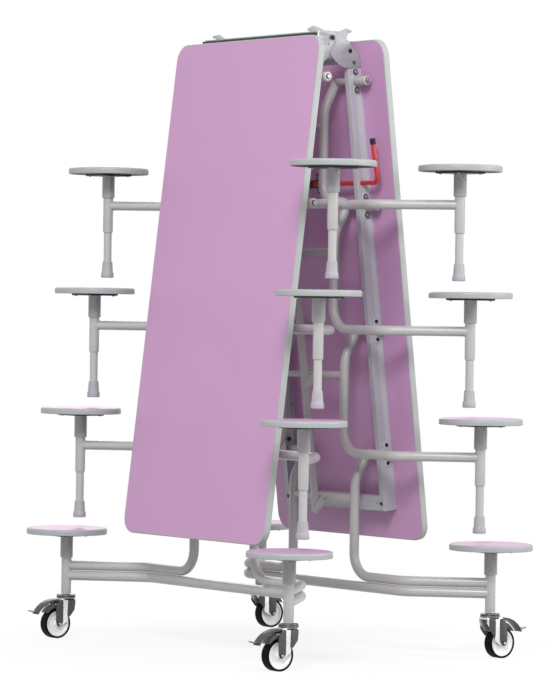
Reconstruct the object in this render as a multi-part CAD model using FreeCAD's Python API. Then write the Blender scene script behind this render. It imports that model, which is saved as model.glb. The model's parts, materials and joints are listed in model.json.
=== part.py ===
import FreeCAD
import Part
import math
import os

V = FreeCAD.Vector
os.makedirs("parts", exist_ok=True)

# Mobile folding dining table with sixteen stools, drawn folded on its castors.
# Millimetres. +X runs along the table's length, +Y across it, +Z up.
# The origin is on the floor, under the centre hinge. The two halves are the same
# part: the left one (-X) is the right one turned half a turn about Z.

# ---- heights above the floor when the table is open
TABLE_HEIGHT = 702.0
SEAT_HEIGHT = 374.5
ARM_HEIGHT = 246.4           # centre of the stool arms
CASTOR_ABOVE_WHEEL = 52.0    # top of the tyre to the lower end of the castor post

# ---- folded stance
FOLD_TILT = math.radians(7.03)   # each top leans this far from upright
STACK_GAP = 34.7             # height between a foot and the seat below it when folded

# ---- table tops
TOP_WIDTH = 802.0
TOP_THICKNESS = 24.0
TOP_CORNER_RADIUS = 55.0
TOP_EDGE_ROUND = 3.5
TOP_TO_HINGE = 136.0         # work surface to the centre hinge axis
END_GAP = 18.0               # half of the gap between the two tops
END_OVERHANG = 101.0         # top past the end of its rails
EDGING_WIDTH = 4.0
LIE_GAP = 0.1                # between glued or seated curved faces

# ---- row pivots
FIRST_PIVOT = 149.0          # centre hinge to the first pivot, along the top
PIVOT_DEPTH = 48.0           # pivot axis below the work surface
ROW_COUNT = 4
RUN_FIT = 0.08               # radial clearance of every turning fit

# ---- rails under the tops
RAIL_OUTER = 272.0           # half the width over the rails
RAIL_DEPTH = 52.5
RAIL_WALL = 3.0
RAIL_FLANGE = 20.0
RAIL_START = 36.0            # distance from the hinge, along the top
RAIL_SLANT = (31.0, 28.0)    # corner cut off the rail's inner end, along and out
RAIL_TAIL = 188.5            # rail past the last pivot
CROSS_DEPTH = 50.0           # end cross-member, along the top
CROSS_BOLT_INSET = 41.0
PANEL_SCREWS = 6             # per rail

# ---- pivot bearings and tubes
PIVOT_TUBE = 26.9
BEARING_BOSS = 34.0
BEARING_REACH = 9.0          # boss depth behind the plate
BEARING_PLATE = 3.0
BEARING_WIDTH = 27.0
BOLT_SPREAD = 30.0           # bearing bolt from the pivot, along the rail
COLLAR_DIAMETER = 30.5
COLLARED_ROWS = 2
COLLAR_ENDS = {-1: [335.0, 335.0, 290.0, 290.0], 1: [400.0, 400.0, 290.0, 290.0]}   # by side, by row
COLLAR_PLUG = 12.0           # depth of the end bolt's plug in the tube
COLLAR_WASHER = 2.0

# ---- row frames
ARM_TUBE = 32.0
TUBE_WALL = 2.0
UPRIGHT_Y = 170.0
MITRE_WALL = 4.0             # closed end of each tube at the mitre
UPRIGHT_SET = 50.9           # upright stands this far inward of its pivot
LEAN_DROP = 95.0             # height over which the upright leans in from the pivot
LEAN_RADIUS = 90.0
ARM_RADIUS = 78.0
KINK_OUTSIDE_TOP = 31.6      # bend of the arm, past the edge of the top
KINK_RADIUS = 75.0
SIDE_STEP = 203.1            # the outer leg of an arm goes this far out and this far along
POST_TUBE = 33.7
POST_WALL = 2.5
POST_PLAY = 4.0              # post ends this far below the seat's mounting plate
POST_BELOW_ARM = 91.0
STRETCHER_TUBE = 25.4
STRETCHER_DROP = 151.0
LOWER_TUBE = 33.7            # second tube under the end arms
LOWER_TUBE_SPACING = 34.0

# ---- link bars that keep the rows upright
LINK_INWARD = 86.0           # link pivot from the row pivot
LINK_DROP = 192.0
LINK_WIDTH = 28.0
LINK_THICKNESS = 8.0
LINK_TAIL = 17.0
LINK_CHAMFER = 8.0
LINK_PIN = 10.0
LINK_PIN_END = 3.0           # pin past the clevis ears
CLEVIS_PLATE = 4.0
CLEVIS_WIDTH = 26.0
SIDE_GAP = 0.4               # between moving flat faces

# ---- stools
SEAT_DIAMETER = 273.0
SEAT_THICKNESS = 21.0
SEAT_EDGE_ROUND = 7.5
SLEEVE_TUBE = 42.4
SLEEVE_WALL = 4.1
SLEEVE_BELOW = 27.0          # lower end of the sleeve above the arm centre
MOUNT_PLATE = 6.0
MOUNT_SIDE = 120.0
MOUNT_CORNER = 12.0
CLAMP_SCREW_DROP = 12.0      # below the mounting plate
CLAMP_SCREW_DEPTH = 1.5      # seated in the sleeve's wall
SEAT_SCREW_PITCH = 92.0
SEAT_SCREW = 4.8
SEAT_SCREW_DEPTH = 12.0
LEG_TUBE = 26.9
LEG_WALL = 2.0
LEG_IN_POST = 60.0
FOOT_HEIGHT = 56.0
FOOT_TOP = 33.0
FOOT_WAIST = 38.0
FOOT_BASE = 43.0
FOOT_RING = 20.0
FOOT_SOCKET = 30.0

# ---- centre hinge
PLATE_THICKNESS = 4.0
HINGE_PIN = 12.0
HINGE_NUT = 14.5             # across the flats of the pin's nut
HINGE_NUT_HEIGHT = 6.0
HINGE_HEAD = 20.0
HINGE_HEAD_HEIGHT = 5.0
HINGE_BOLT = (49.0, 72.5)    # along the top from the hinge, and out from it
HINGE_BOLT_LOW = (88.0, 84.0)
HINGE_PLATE_END = 104.0
SPRING_TUBE = 28.0           # cross tube of the lift spring
SPRING_AT = (42.0, -72.0)    # X and Z from the hinge axis

# ---- strip along the inner end of one top
STRIP_WIDTH = 630.0
STRIP_SHIFT = 35.0           # middle of the strip from the middle of the top
STRIP_THICKNESS = 6.0
STRIP_START = 2.0
STRIP_END = 34.0
STRIP_SCREW_PITCH = 200.0
STRIP_SCREW_INSET = 9.0      # from the panel's end to the screws
SEAL_START = 8.0
SEAL_THICKNESS = 10.0

# ---- lock lever
LEVER_ROD = 16.0
LEVER_ALONG = 484.0          # from the hinge, along the top
LEVER_OUT = 79.3             # from the hinge line, square to the top
LEVER_FAR_END = 285.0
LEVER_HANDLE_Y = 360.0
LEVER_HANDLE = 146.0
LEVER_BEND = 24.0
LEVER_CAP = 20.0
LEVER_CAP_LENGTH = 20.0
LEVER_SCREW_SPREAD = 22.0
LEVER_LEAN = math.radians(11.0)
HOOK_Y = 26.0
HOOK_THICKNESS = 5.0
SADDLE_WIDTH = 24.0
SADDLE_PLATE = 4.0

# ---- castors
WHEEL_DIAMETER = 100.0
WHEEL_WIDTH = 36.0
TYRE_DEPTH = 6.0
TYRE_ROUND = 2.5
TRAIL = 41.6                 # axle behind the swivel axis
AXLE = 12.0
HUB_BOSS = 24.0
FORK_GAP = 19.5              # half the inside width of the fork
FORK_WALL = 3.0
HEAD_DIAMETER = 65.0
HEAD_DEPTH = 18.0            # swivel head and its gap, below the post
HEAD_GAP = 0.3
STEM = 20.0
STEM_LENGTH = 40.0
INSERT_LENGTH = 46.0
GUARD_PLAY = 6.0             # guard from the tyre
GUARD_SHELL = 4.0
GUARD_WALL = 2.5             # leg covers
GUARD_ARC = (40, 75, 110, 145, 168)   # degrees about the axle that the guard covers
LEG_BAND = (5.0, 26.0)       # bare stretch of each leg between its two covers, along the trail
HEEL_END = -22.0             # back edge of the rear cover
PEDAL_RADIUS = 93.0
PEDAL_THICKNESS = 6.0
PEDAL_CENTRE = (45.0, 94.0)  # centre of the pedal's curve, along the trail and below the head
PEDAL_PIVOT = (30.0, 11.5)   # along the trail and below the head
PEDAL_LUG = 15.0
PEDAL_PIN = 6.0
PEDAL_START = 26.0           # the pedal runs from here to its end, along the trail
PEDAL_END = 123.0
PEDAL_TIP_DROP = 42.0        # steel tip below the head
PEDAL_TIP_END = 147.0
PEDAL_TIP_WIDTH = 22.0
PEDAL_TIP_LAP = 8.0          # steel tip into the pedal
PEDAL_TIP_THICKNESS = 2.5

# ---- fasteners
BOLT = 8.0
BOLT_FLATS = 13.0
BOLT_HEAD = 5.3
NUT_HEIGHT = 6.5
THREAD_END = 2.0             # bolt past its nut
ROUND_HEAD = 12.0            # head of a round-headed bolt
SCREW_HEAD = 10.0
SCREW_HEAD_HEIGHT = 2.6
WOOD_SCREW = 5.0
WOOD_SCREW_DEPTH = 14.0
HOLE_PLAY = 0.2

# ---- places worked out from the sizes above
SLOPE = V(math.sin(FOLD_TILT), 0, -math.cos(FOLD_TILT))
OUTWARD = V(math.cos(FOLD_TILT), 0, math.sin(FOLD_TILT))
ROW_PITCH = (SEAT_HEIGHT + STACK_GAP) / math.cos(FOLD_TILT)
PIVOT_OUT = TOP_TO_HINGE - PIVOT_DEPTH
LAST_PIVOT = FIRST_PIVOT + (ROW_COUNT - 1) * ROW_PITCH
RAIL_END = LAST_PIVOT + RAIL_TAIL
TOP_END = RAIL_END + END_OVERHANG
UNDERSIDE = TOP_TO_HINGE - TOP_THICKNESS
RAIL_LOW = UNDERSIDE - RAIL_DEPTH
ARM_DROP = TABLE_HEIGHT - PIVOT_DEPTH - ARM_HEIGHT
HINGE_Z = ARM_HEIGHT + ARM_DROP - LAST_PIVOT * SLOPE.z - PIVOT_OUT * OUTWARD.z
KINK_Y = TOP_WIDTH / 2 + KINK_OUTSIDE_TOP
POST_Y = KINK_Y + SIDE_STEP
SEAT_TOP = SEAT_HEIGHT - ARM_HEIGHT
SEAT_BOTTOM = SEAT_TOP - SEAT_THICKNESS
WHEEL_RADIUS = WHEEL_DIAMETER / 2
CASTOR_HEIGHT = WHEEL_DIAMETER + CASTOR_ABOVE_WHEEL
HEAD_BOTTOM = CASTOR_HEIGHT - HEAD_DEPTH
GUARD_INNER = WHEEL_RADIUS + GUARD_PLAY
GUARD_OUTER = GUARD_INNER + GUARD_SHELL
INNER_PLATE = RAIL_OUTER
OUTER_PLATE = RAIL_OUTER + PLATE_THICKNESS + SIDE_GAP


def on_top(along, out, y=0.0):
    """Point on the right top: along it from the hinge, out from the hinge axis, and across."""
    return V(0, y, HINGE_Z) + SLOPE * along + OUTWARD * out


def save(name, solids):
    shape = solids[0] if len(solids) == 1 else Part.makeCompound(solids)
    shape.exportStep("parts/" + name + ".step")


def turned(solids):
    """The same solids on the left half."""
    copies = []
    for solid in solids:
        copy = solid.copy()
        copy.rotate(V(0, 0, 0), V(0, 0, 1), 180)
        copies.append(copy)
    return copies


def rod(start, end, diameter):
    return Part.makeCylinder(diameter / 2, (end - start).Length, start, end - start)


def ring(start, end, outer, inner):
    return rod(start, end, outer).cut(rod(start, end, inner))


def hexagon(start, end, flats):
    """Hexagonal prism from start to end, measured across the flats."""
    axis = (end - start).normalize()
    side = axis.cross(V(0, 0, 1) if abs(axis.z) < 0.9 else V(1, 0, 0)).normalize()
    other = axis.cross(side)
    corner = flats / math.sqrt(3)
    points = []
    for step in range(7):
        angle = math.pi / 3 * step
        points.append(start + side * (corner * math.cos(angle)) + other * (corner * math.sin(angle)))
    return Part.Face(Part.makePolygon(points)).extrude(end - start)


def path(points, radii):
    """Wire through the points, with an arc of the given radius at each inner one."""
    edges = []
    here = points[0]
    for index in range(1, len(points) - 1):
        corner = points[index]
        back = (points[index - 1] - corner).normalize()
        ahead = (points[index + 1] - corner).normalize()
        half = back.getAngle(ahead) / 2
        middle = (back + ahead).normalize()
        radius = radii[index - 1]
        setback = radius / math.tan(half)
        arc_start = corner + back * setback
        arc_end = corner + ahead * setback
        arc_middle = corner + middle * (radius / math.sin(half) - radius)
        edges.append(Part.makeLine(here, arc_start))
        edges.append(Part.Arc(arc_start, arc_middle, arc_end).toShape())
        here = arc_end
    edges.append(Part.makeLine(here, points[-1]))
    return Part.Wire(edges)


def sweep(wire, diameter, start, direction):
    circle = Part.Wire([Part.makeCircle(diameter / 2, start, direction)])
    return wire.makePipeShell([circle], True, False)


def bent_rod(points, radii, diameter):
    return sweep(path(points, radii), diameter, points[0], points[1] - points[0])


def join(solids):
    return solids[0].fuse(solids[1:]).removeSplitter()


def rounded_board(length, width, radius, thickness):
    """Board in the XY plane, from X = 0, centred on Y, with rounded corners."""
    board = Part.makeBox(length, width, thickness, V(0, -width / 2, 0))
    corners = [edge for edge in board.Edges if abs(edge.tangentAt(0).z) > 0.9]
    return board.makeFillet(radius, corners)


def lay_on_top(solid, along, out):
    """Move a solid from the XY plane onto the right top: X goes along the slope, Z outward."""
    turn = FreeCAD.Rotation(SLOPE, V(0, 1, 0), OUTWARD, "ZXY")
    moved = solid.copy()
    moved.Placement = FreeCAD.Placement(on_top(along, out), turn).multiply(moved.Placement)
    return moved


def top_and_edging(strip_holes):
    """Laminated panel and its moulded edging, with pilot holes for the screws."""
    length = TOP_END - END_GAP
    outer = rounded_board(length, TOP_WIDTH, TOP_CORNER_RADIUS, TOP_THICKNESS)
    rim = [edge for edge in outer.Edges if abs(edge.CenterOfMass.z - TOP_THICKNESS / 2) > 1]
    outer = outer.makeFillet(TOP_EDGE_ROUND, rim)
    core_radius = TOP_CORNER_RADIUS - EDGING_WIDTH
    core_length = length - 2 * EDGING_WIDTH
    core_width = TOP_WIDTH - 2 * EDGING_WIDTH
    opening = rounded_board(core_length, core_width, core_radius, TOP_THICKNESS)
    core = rounded_board(core_length - 2 * LIE_GAP, core_width - 2 * LIE_GAP, core_radius - LIE_GAP,
                         TOP_THICKNESS)
    edging = outer.cut(opening.translated(V(EDGING_WIDTH, 0, 0)))
    panel = lay_on_top(core.translated(V(EDGING_WIDTH + LIE_GAP, 0, 0)), END_GAP, UNDERSIDE)
    depth = OUTWARD * (WOOD_SCREW_DEPTH + 1)
    for along, across in panel_screw_places() + strip_holes:
        hole_start = on_top(along, UNDERSIDE, across)
        panel = panel.cut(rod(hole_start, hole_start + depth, WOOD_SCREW + 2 * HOLE_PLAY))
    return panel, lay_on_top(edging, END_GAP, UNDERSIDE)


def panel_screw_places():
    """Along and across positions of the screws that hold the rails to the panel."""
    places = []
    across = RAIL_OUTER - RAIL_FLANGE / 2 - RAIL_WALL / 2
    first = FIRST_PIVOT + ROW_PITCH / 6
    for index in range(PANEL_SCREWS):
        along = first + index * (RAIL_END - CROSS_DEPTH - first - 30) / (PANEL_SCREWS - 1)
        places.append((along, across))
        places.append((along, -across))
    return places


def wood_screw(along, out, across):
    """Pan-head screw driven outward into the panel, its head lying inward of 'out'."""
    seat = on_top(along, out, across)
    head = rod(seat - OUTWARD * SCREW_HEAD_HEIGHT, seat, SCREW_HEAD)
    return join([head, rod(seat, on_top(along, UNDERSIDE + WOOD_SCREW_DEPTH, across), WOOD_SCREW)])


def pivot_point(row):
    return on_top(FIRST_PIVOT + row * ROW_PITCH, PIVOT_OUT)


def rails(with_lever):
    """Two channels and the cross-member at their ends."""
    solids = []
    for side in (-1, 1):
        outline = []
        inner = RAIL_OUTER - RAIL_FLANGE
        for across, out in ((RAIL_OUTER, RAIL_LOW), (RAIL_OUTER, UNDERSIDE), (inner, UNDERSIDE),
                            (inner, UNDERSIDE - RAIL_WALL), (RAIL_OUTER - RAIL_WALL, UNDERSIDE - RAIL_WALL),
                            (RAIL_OUTER - RAIL_WALL, RAIL_LOW + RAIL_WALL), (inner, RAIL_LOW + RAIL_WALL),
                            (inner, RAIL_LOW), (RAIL_OUTER, RAIL_LOW)):
            outline.append(on_top(RAIL_START, out, side * across))
        channel = Part.Face(Part.makePolygon(outline)).extrude(SLOPE * (RAIL_END - RAIL_START))
        cutters = []
        for row in range(ROW_COUNT):
            centre = pivot_point(row)
            cutters.append(cross_rod(centre, BEARING_BOSS + 2 * HOLE_PLAY, side))
            for shift in (-BOLT_SPREAD, BOLT_SPREAD):
                cutters.append(cross_rod(centre + SLOPE * shift, BOLT + 2 * HOLE_PLAY, side))
        for along, out in (HINGE_BOLT, HINGE_BOLT_LOW):
            cutters.append(cross_rod(on_top(along, out), BOLT + 2 * HOLE_PLAY, side))
        if with_lever:
            cutters.append(cross_rod(on_top(LEVER_ALONG, LEVER_OUT), LEVER_ROD + 2 * RUN_FIT, side))
        for along, across in panel_screw_places():
            if across * side > 0:
                start = on_top(along, UNDERSIDE - 2 * RAIL_WALL, across)
                cutters.append(rod(start, start + OUTWARD * (3 * RAIL_WALL), WOOD_SCREW + 2 * HOLE_PLAY))
        for along in cross_bolts():
            start = on_top(along, RAIL_LOW - RAIL_WALL, side * (RAIL_OUTER - RAIL_FLANGE / 2 - RAIL_WALL))
            cutters.append(rod(start, start + OUTWARD * (3 * RAIL_WALL), BOLT + 2 * HOLE_PLAY))
        cutters.append(rail_slant(side))
        solids.append(channel.cut(cutters))
    half = RAIL_OUTER - RAIL_WALL - SIDE_GAP
    low = RAIL_LOW + RAIL_WALL
    start = RAIL_END - CROSS_DEPTH
    corners = []
    for along, out in ((start, low), (RAIL_END, low), (RAIL_END, low + RAIL_FLANGE),
                       (RAIL_END - RAIL_WALL, low + RAIL_FLANGE), (RAIL_END - RAIL_WALL, low + RAIL_WALL),
                       (start + RAIL_WALL, low + RAIL_WALL), (start + RAIL_WALL, low + RAIL_FLANGE),
                       (start, low + RAIL_FLANGE), (start, low)):
        corners.append(on_top(along, out, -half))
    cross = Part.Face(Part.makePolygon(corners)).extrude(V(0, 2 * half, 0))
    holes = []
    for side in (-1, 1):
        for along in cross_bolts():
            across = side * (RAIL_OUTER - RAIL_FLANGE / 2 - RAIL_WALL)
            begin = on_top(along, RAIL_LOW - RAIL_WALL, across)
            holes.append(rod(begin, begin + OUTWARD * (4 * RAIL_WALL), BOLT + 2 * HOLE_PLAY))
        begin = on_top(start + CROSS_DEPTH / 2, RAIL_LOW, side * (RAIL_OUTER - CROSS_BOLT_INSET))
        holes.append(rod(begin, begin + OUTWARD * (4 * RAIL_WALL), BOLT + 2 * HOLE_PLAY))
    solids.append(cross.cut(holes))
    return solids


def rail_slant(side):
    """Cutter that takes the outer corner off a rail's inner end, behind the hinge plate."""
    along, out = RAIL_SLANT
    past = 0.25
    start = RAIL_START - past * along
    end = RAIL_START + (1 + past) * along
    low = UNDERSIDE - (1 + past) * out
    high = UNDERSIDE + past * out
    across = side * (RAIL_OUTER + RAIL_WALL)
    corners = [on_top(start, low, across), on_top(start, high, across), on_top(end, high, across),
               on_top(start, low, across)]
    return Part.Face(Part.makePolygon(corners)).extrude(V(0, -side * 2 * RAIL_FLANGE, 0))


def cross_bolts():
    """Along positions of the bolts that join the cross-member to the rail flanges."""
    return [RAIL_END - CROSS_DEPTH / 2]


def cross_rod(centre, diameter, side):
    """Cutter through one rail's web, along Y."""
    start = V(centre.x, side * (RAIL_OUTER - 3 * RAIL_WALL), centre.z)
    return rod(start, start + V(0, side * 5 * RAIL_WALL, 0), diameter)


def bearing(row, side):
    """Plate on the outside of a web, with a boss through it that carries the pivot tube."""
    centre = pivot_point(row)
    face = RAIL_OUTER
    low = centre - SLOPE * BOLT_SPREAD
    high = centre + SLOPE * BOLT_SPREAD
    shift = V(0, side * face - centre.y, 0)
    thick = V(0, side * BEARING_PLATE, 0)
    bar = Part.Face(Part.makePolygon([
        low + OUTWARD * (BEARING_WIDTH / 2) + shift, high + OUTWARD * (BEARING_WIDTH / 2) + shift,
        high - OUTWARD * (BEARING_WIDTH / 2) + shift, low - OUTWARD * (BEARING_WIDTH / 2) + shift,
        low + OUTWARD * (BEARING_WIDTH / 2) + shift])).extrude(thick)
    pieces = [bar]
    for end in (low, high):
        pieces.append(rod(end + shift, end + shift + thick, BEARING_WIDTH))
    eye = centre + shift
    pieces.append(rod(eye, eye + thick, BEARING_BOSS + 6))
    pieces.append(rod(eye - V(0, side * BEARING_REACH, 0), eye + thick, BEARING_BOSS))
    solid = join(pieces)
    cutters = [rod(eye - V(0, side * 20, 0), eye + V(0, side * 20, 0), PIVOT_TUBE + 2 * RUN_FIT)]
    for end in (low, high):
        cutters.append(rod(end + shift - thick, end + shift + thick * 2, BOLT + 2 * HOLE_PLAY))
    return solid.cut(cutters)


def web_bolt(centre, side, grip_start, grip_end, flats, head):
    """Bolt through the rail web along Y: head outside, nut inside."""
    outer = V(centre.x, side * grip_end, centre.z)
    inner = V(centre.x, side * grip_start, centre.z)
    out = V(0, side, 0)
    pieces = [rod(inner - out * (NUT_HEIGHT + THREAD_END), outer, BOLT)]
    if flats:
        pieces.append(hexagon(outer, outer + out * head, flats))
    else:
        pieces.append(rod(outer, outer + out * head, ROUND_HEAD))
    pieces.append(hexagon(inner - out * NUT_HEIGHT, inner, BOLT_FLATS))
    return join(pieces)


def top_fasteners(inner_side):
    """All screws and bolts of the right top; inner_side is the side of its inner hinge plate."""
    solids = []
    for along, across in panel_screw_places():
        solids.append(wood_screw(along, UNDERSIDE - RAIL_WALL, across))
    for side in (-1, 1):
        for row in range(ROW_COUNT):
            for shift in (-BOLT_SPREAD, BOLT_SPREAD):
                centre = pivot_point(row) + SLOPE * shift
                flats = BOLT_FLATS if row < 2 else 0
                head = BOLT_HEAD if row < 2 else SCREW_HEAD_HEIGHT
                solids.append(web_bolt(centre, side, RAIL_OUTER - RAIL_WALL, RAIL_OUTER + BEARING_PLATE,
                                       flats, head))
        outer_face = (INNER_PLATE if side == inner_side else OUTER_PLATE) + PLATE_THICKNESS
        for along, out in (HINGE_BOLT, HINGE_BOLT_LOW):
            flats = BOLT_FLATS if (along, out) == HINGE_BOLT else 0
            solids.append(web_bolt(on_top(along, out), side, RAIL_OUTER - RAIL_WALL, outer_face, flats,
                                   SCREW_HEAD_HEIGHT))
        across = side * (RAIL_OUTER - RAIL_FLANGE / 2 - RAIL_WALL)
        for along in cross_bolts():
            base = on_top(along, RAIL_LOW, across)
            top = on_top(along, RAIL_LOW + 2 * RAIL_WALL, across)
            pieces = [rod(base, top + OUTWARD * (NUT_HEIGHT + THREAD_END), BOLT)]
            pieces.append(rod(base - OUTWARD * SCREW_HEAD_HEIGHT, base, ROUND_HEAD))
            pieces.append(hexagon(top, top + OUTWARD * NUT_HEIGHT, BOLT_FLATS))
            solids.append(join(pieces))
    return solids


def hinge_pins():
    """The two pins of the centre hinge, carried by the right top's plates."""
    pins = []
    for side in (-1, 1):
        inner = V(0, side * INNER_PLATE, HINGE_Z)
        outer = V(0, side * (OUTER_PLATE + PLATE_THICKNESS + SIDE_GAP), HINGE_Z)
        out = V(0, side, 0)
        pieces = [rod(inner, outer, HINGE_PIN), rod(inner - out * HINGE_HEAD_HEIGHT, inner, HINGE_HEAD)]
        pieces.append(hexagon(outer, outer + out * HINGE_NUT_HEIGHT, HINGE_NUT))
        pieces.append(rod(outer, outer + out * (HINGE_NUT_HEIGHT + THREAD_END + 1), BOLT))
        pins.append(join(pieces))
    return pins


def foot_of_plate():
    """The four corners of a hinge plate that lie on the rail, as X and Z from the hinge axis."""
    corners = []
    upper = UNDERSIDE - 1
    lower = RAIL_LOW + 1
    for along, out in ((60.0, upper), (HINGE_PLATE_END, upper), (HINGE_PLATE_END, lower)):
        point = on_top(along, out)
        corners.append((point.x, point.z - HINGE_Z))
    return corners


def plate_wire(points, arcs, y):
    """Closed wire through (X, Z) points; an arc (index: middle point) replaces that side."""
    edges = []
    for index, point in enumerate(points):
        following = points[(index + 1) % len(points)]
        start = V(point[0], y, HINGE_Z + point[1])
        end = V(following[0], y, HINGE_Z + following[1])
        if index in arcs:
            middle = V(arcs[index][0], y, HINGE_Z + arcs[index][1])
            edges.append(Part.Arc(start, middle, end).toShape())
        else:
            edges.append(Part.makeLine(start, end))
    return Part.Wire(edges)


def inner_plate_shape():
    """Outline of the plate that lies on the web, with its upper hook; X and Z from the axis."""
    points = [(-14.0, 21.0), (36.0, 22.5), (56.0, 33.0), (67.0, 33.0), (86.0, 26.0), (79.0, 19.5),
              (66.0, 12.0), (70.0, -6.0), (91.0, -30.0)]
    points += foot_of_plate()
    points += [(60.0, -96.0), (-7.0, -45.6), (-19.0, -10.0)]
    arcs = {5: (70.0, 18.5), 6: (63.0, 2.0), len(points) - 3: (20.0, -77.5)}
    return points, arcs


def outer_plate_shape():
    """Outline of the plate that passes outside the other one; X and Z from the axis, for +X."""
    points = [(0.0, 22.0), (36.0, 23.0), (65.0, 33.0), (83.0, 33.0), (101.0, 22.0), (90.0, 15.0),
              (74.0, 8.0), (78.0, -10.0), (95.0, -34.0)]
    points += foot_of_plate()
    points += [(60.0, -97.0), (7.0, -46.0), (-14.2, -8.5)]
    arcs = {5: (79.0, 13.0), len(points) - 1: (-15.5, 10.0), len(points) - 3: (28.0, -77.0)}
    return points, arcs


def hinge_plate(kind, side):
    """One hinge plate of the right top."""
    points, arcs = inner_plate_shape() if kind == "inner" else outer_plate_shape()
    face = INNER_PLATE if kind == "inner" else OUTER_PLATE
    wire = plate_wire(points, arcs, side * face)
    plate = Part.Face(wire).extrude(V(0, side * PLATE_THICKNESS, 0))
    out = V(0, side, 0)
    if kind == "outer":
        pads = []
        for along, across in (HINGE_BOLT, HINGE_BOLT_LOW):
            seat = on_top(along, across, side * RAIL_OUTER)
            pads.append(rod(seat, seat + out * (face - RAIL_OUTER), BOLT_FLATS + 9))
        plate = join([plate] + pads)
    cutters = []
    for along, across in (HINGE_BOLT, HINGE_BOLT_LOW):
        seat = on_top(along, across, side * (RAIL_OUTER - 5))
        cutters.append(rod(seat, seat + out * 20, BOLT + 2 * HOLE_PLAY))
    bore = HINGE_PIN + 2 * RUN_FIT
    axis = V(0, side * (RAIL_OUTER - 5), HINGE_Z)
    cutters.append(rod(axis, axis + out * 20, bore))
    for x, z in ((32.0, 3.5), (15.5, -24.0)):
        if kind == "outer":
            start = axis + V(x, 0, z)
            cutters.append(rod(start, start + out * 20, 4.5))
    return plate.cut(cutters)


def spring_tube():
    """Lift-spring tube between the right top's hinge plates, on the inner faces of both."""
    x, z = SPRING_AT
    near = V(x, -(RAIL_OUTER - SIDE_GAP), HINGE_Z + z)
    far = V(x, OUTER_PLATE - SIDE_GAP, HINGE_Z + z)
    body = rod(near, far, SPRING_TUBE)
    bore = rod(near + V(0, 8, 0), far - V(0, 8, 0), SPRING_TUBE - 6)
    return body.cut(bore)


def bent_arm(row, side):
    """Upright and arm of one side, bent from one tube, notched where it meets its post."""
    pivot = pivot_point(row)
    upright_x = pivot.x - UPRIGHT_SET
    arm_z = pivot.z - ARM_DROP
    top = V(pivot.x, side * UPRIGHT_Y, pivot.z)
    lean = V(upright_x, side * UPRIGHT_Y, pivot.z - LEAN_DROP)
    ahead = (lean - top).normalize()
    mitre = mitre_of(row, side)
    points = [top - ahead * 2 * ARM_TUBE, lean, V(upright_x, side * UPRIGHT_Y, arm_z),
              V(upright_x, side * KINK_Y, arm_z), V(upright_x + SIDE_STEP, side * POST_Y, arm_z)]
    radii = [LEAN_RADIUS, ARM_RADIUS, KINK_RADIUS]
    skin = cut_beyond(bent_rod(points, radii, ARM_TUBE), top, mitre)
    bore = bent_rod(points, radii, ARM_TUBE - 2 * TUBE_WALL)
    return skin.cut([cut_beyond(bore, top + ahead * MITRE_WALL, mitre), post_notch(row, side)])


def mitre_of(row, side):
    """Normal of the plane where an upright meets its pivot tube, towards the upright."""
    ahead = V(-UPRIGHT_SET, 0, -LEAN_DROP).normalize()
    return (ahead - V(0, side, 0)).normalize()


def post_notch(row, side):
    """Cutter that leaves a tube clear of the post on that side."""
    low, high = post_ends(row, side)
    return rod(low, high, POST_TUBE + 2 * LIE_GAP)


def post_ends(row, side):
    pivot = pivot_point(row)
    x = pivot.x - UPRIGHT_SET + SIDE_STEP
    arm_z = pivot.z - ARM_DROP
    drop = ARM_HEIGHT - CASTOR_HEIGHT if row == ROW_COUNT - 1 else POST_BELOW_ARM
    rise = SEAT_BOTTOM - MOUNT_PLATE - POST_PLAY
    return V(x, side * POST_Y, arm_z - drop), V(x, side * POST_Y, arm_z + rise)


def pivot_tube(row, side):
    """Tube that turns in the bearing, with the collar that stands out beyond it."""
    pivot = pivot_point(row)
    outward = V(0, side, 0)
    top = V(pivot.x, side * UPRIGHT_Y, pivot.z)
    start = top - outward * 2 * ARM_TUBE
    end = V(pivot.x, side * COLLAR_ENDS[side][row], pivot.z)
    mitre = mitre_of(row, side) * -1
    skin = cut_beyond(rod(start, end, PIVOT_TUBE), top, mitre)
    if row < COLLARED_ROWS:
        collar_start = V(pivot.x, side * (RAIL_OUTER + BEARING_PLATE + SIDE_GAP), pivot.z)
        skin = join([skin, rod(collar_start, end, COLLAR_DIAMETER)])
    bore = rod(start, end + outward, PIVOT_TUBE - 2 * TUBE_WALL)
    return skin.cut(cut_beyond(bore, top + outward * MITRE_WALL, mitre))


def post(row, side):
    """Upright tube at an arm's end; on the base its lower end holds the castor's stem."""
    low, high = post_ends(row, side)
    above = high + V(0, 0, 1)
    below = low - V(0, 0, 1)
    bore = POST_TUBE - 2 * POST_WALL
    skin = rod(low, high, POST_TUBE)
    if row == ROW_COUNT - 1:
        insert = low + V(0, 0, INSERT_LENGTH)
        return skin.cut([rod(insert, above, bore), rod(below, insert, STEM + 2 * RUN_FIT)])
    return skin.cut(rod(below, above, bore))


def cut_beyond(solid, point, normal):
    """Keep the part of the solid on the side of the plane that its normal points to."""
    size = 600.0
    block = Part.makeBox(size, size, size, V(-size / 2, -size / 2, -size))
    block.Placement = FreeCAD.Placement(point, FreeCAD.Rotation(V(0, 0, 1), normal))
    return solid.cut(block)


def stretcher_ends(row):
    pivot = pivot_point(row)
    middle = V(pivot.x - UPRIGHT_SET, 0, pivot.z - STRETCHER_DROP)
    return middle - V(0, UPRIGHT_Y, 0), middle + V(0, UPRIGHT_Y, 0)


def stretcher(row):
    """Tube between the two uprights, notched round them."""
    low, high = stretcher_ends(row)
    notches = []
    for end in (low, high):
        notches.append(rod(end - V(0, 0, ARM_TUBE), end + V(0, 0, ARM_TUBE), ARM_TUBE + 2 * LIE_GAP))
    return ring(low, high, STRETCHER_TUBE, STRETCHER_TUBE - 2 * TUBE_WALL).cut(notches)


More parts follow.
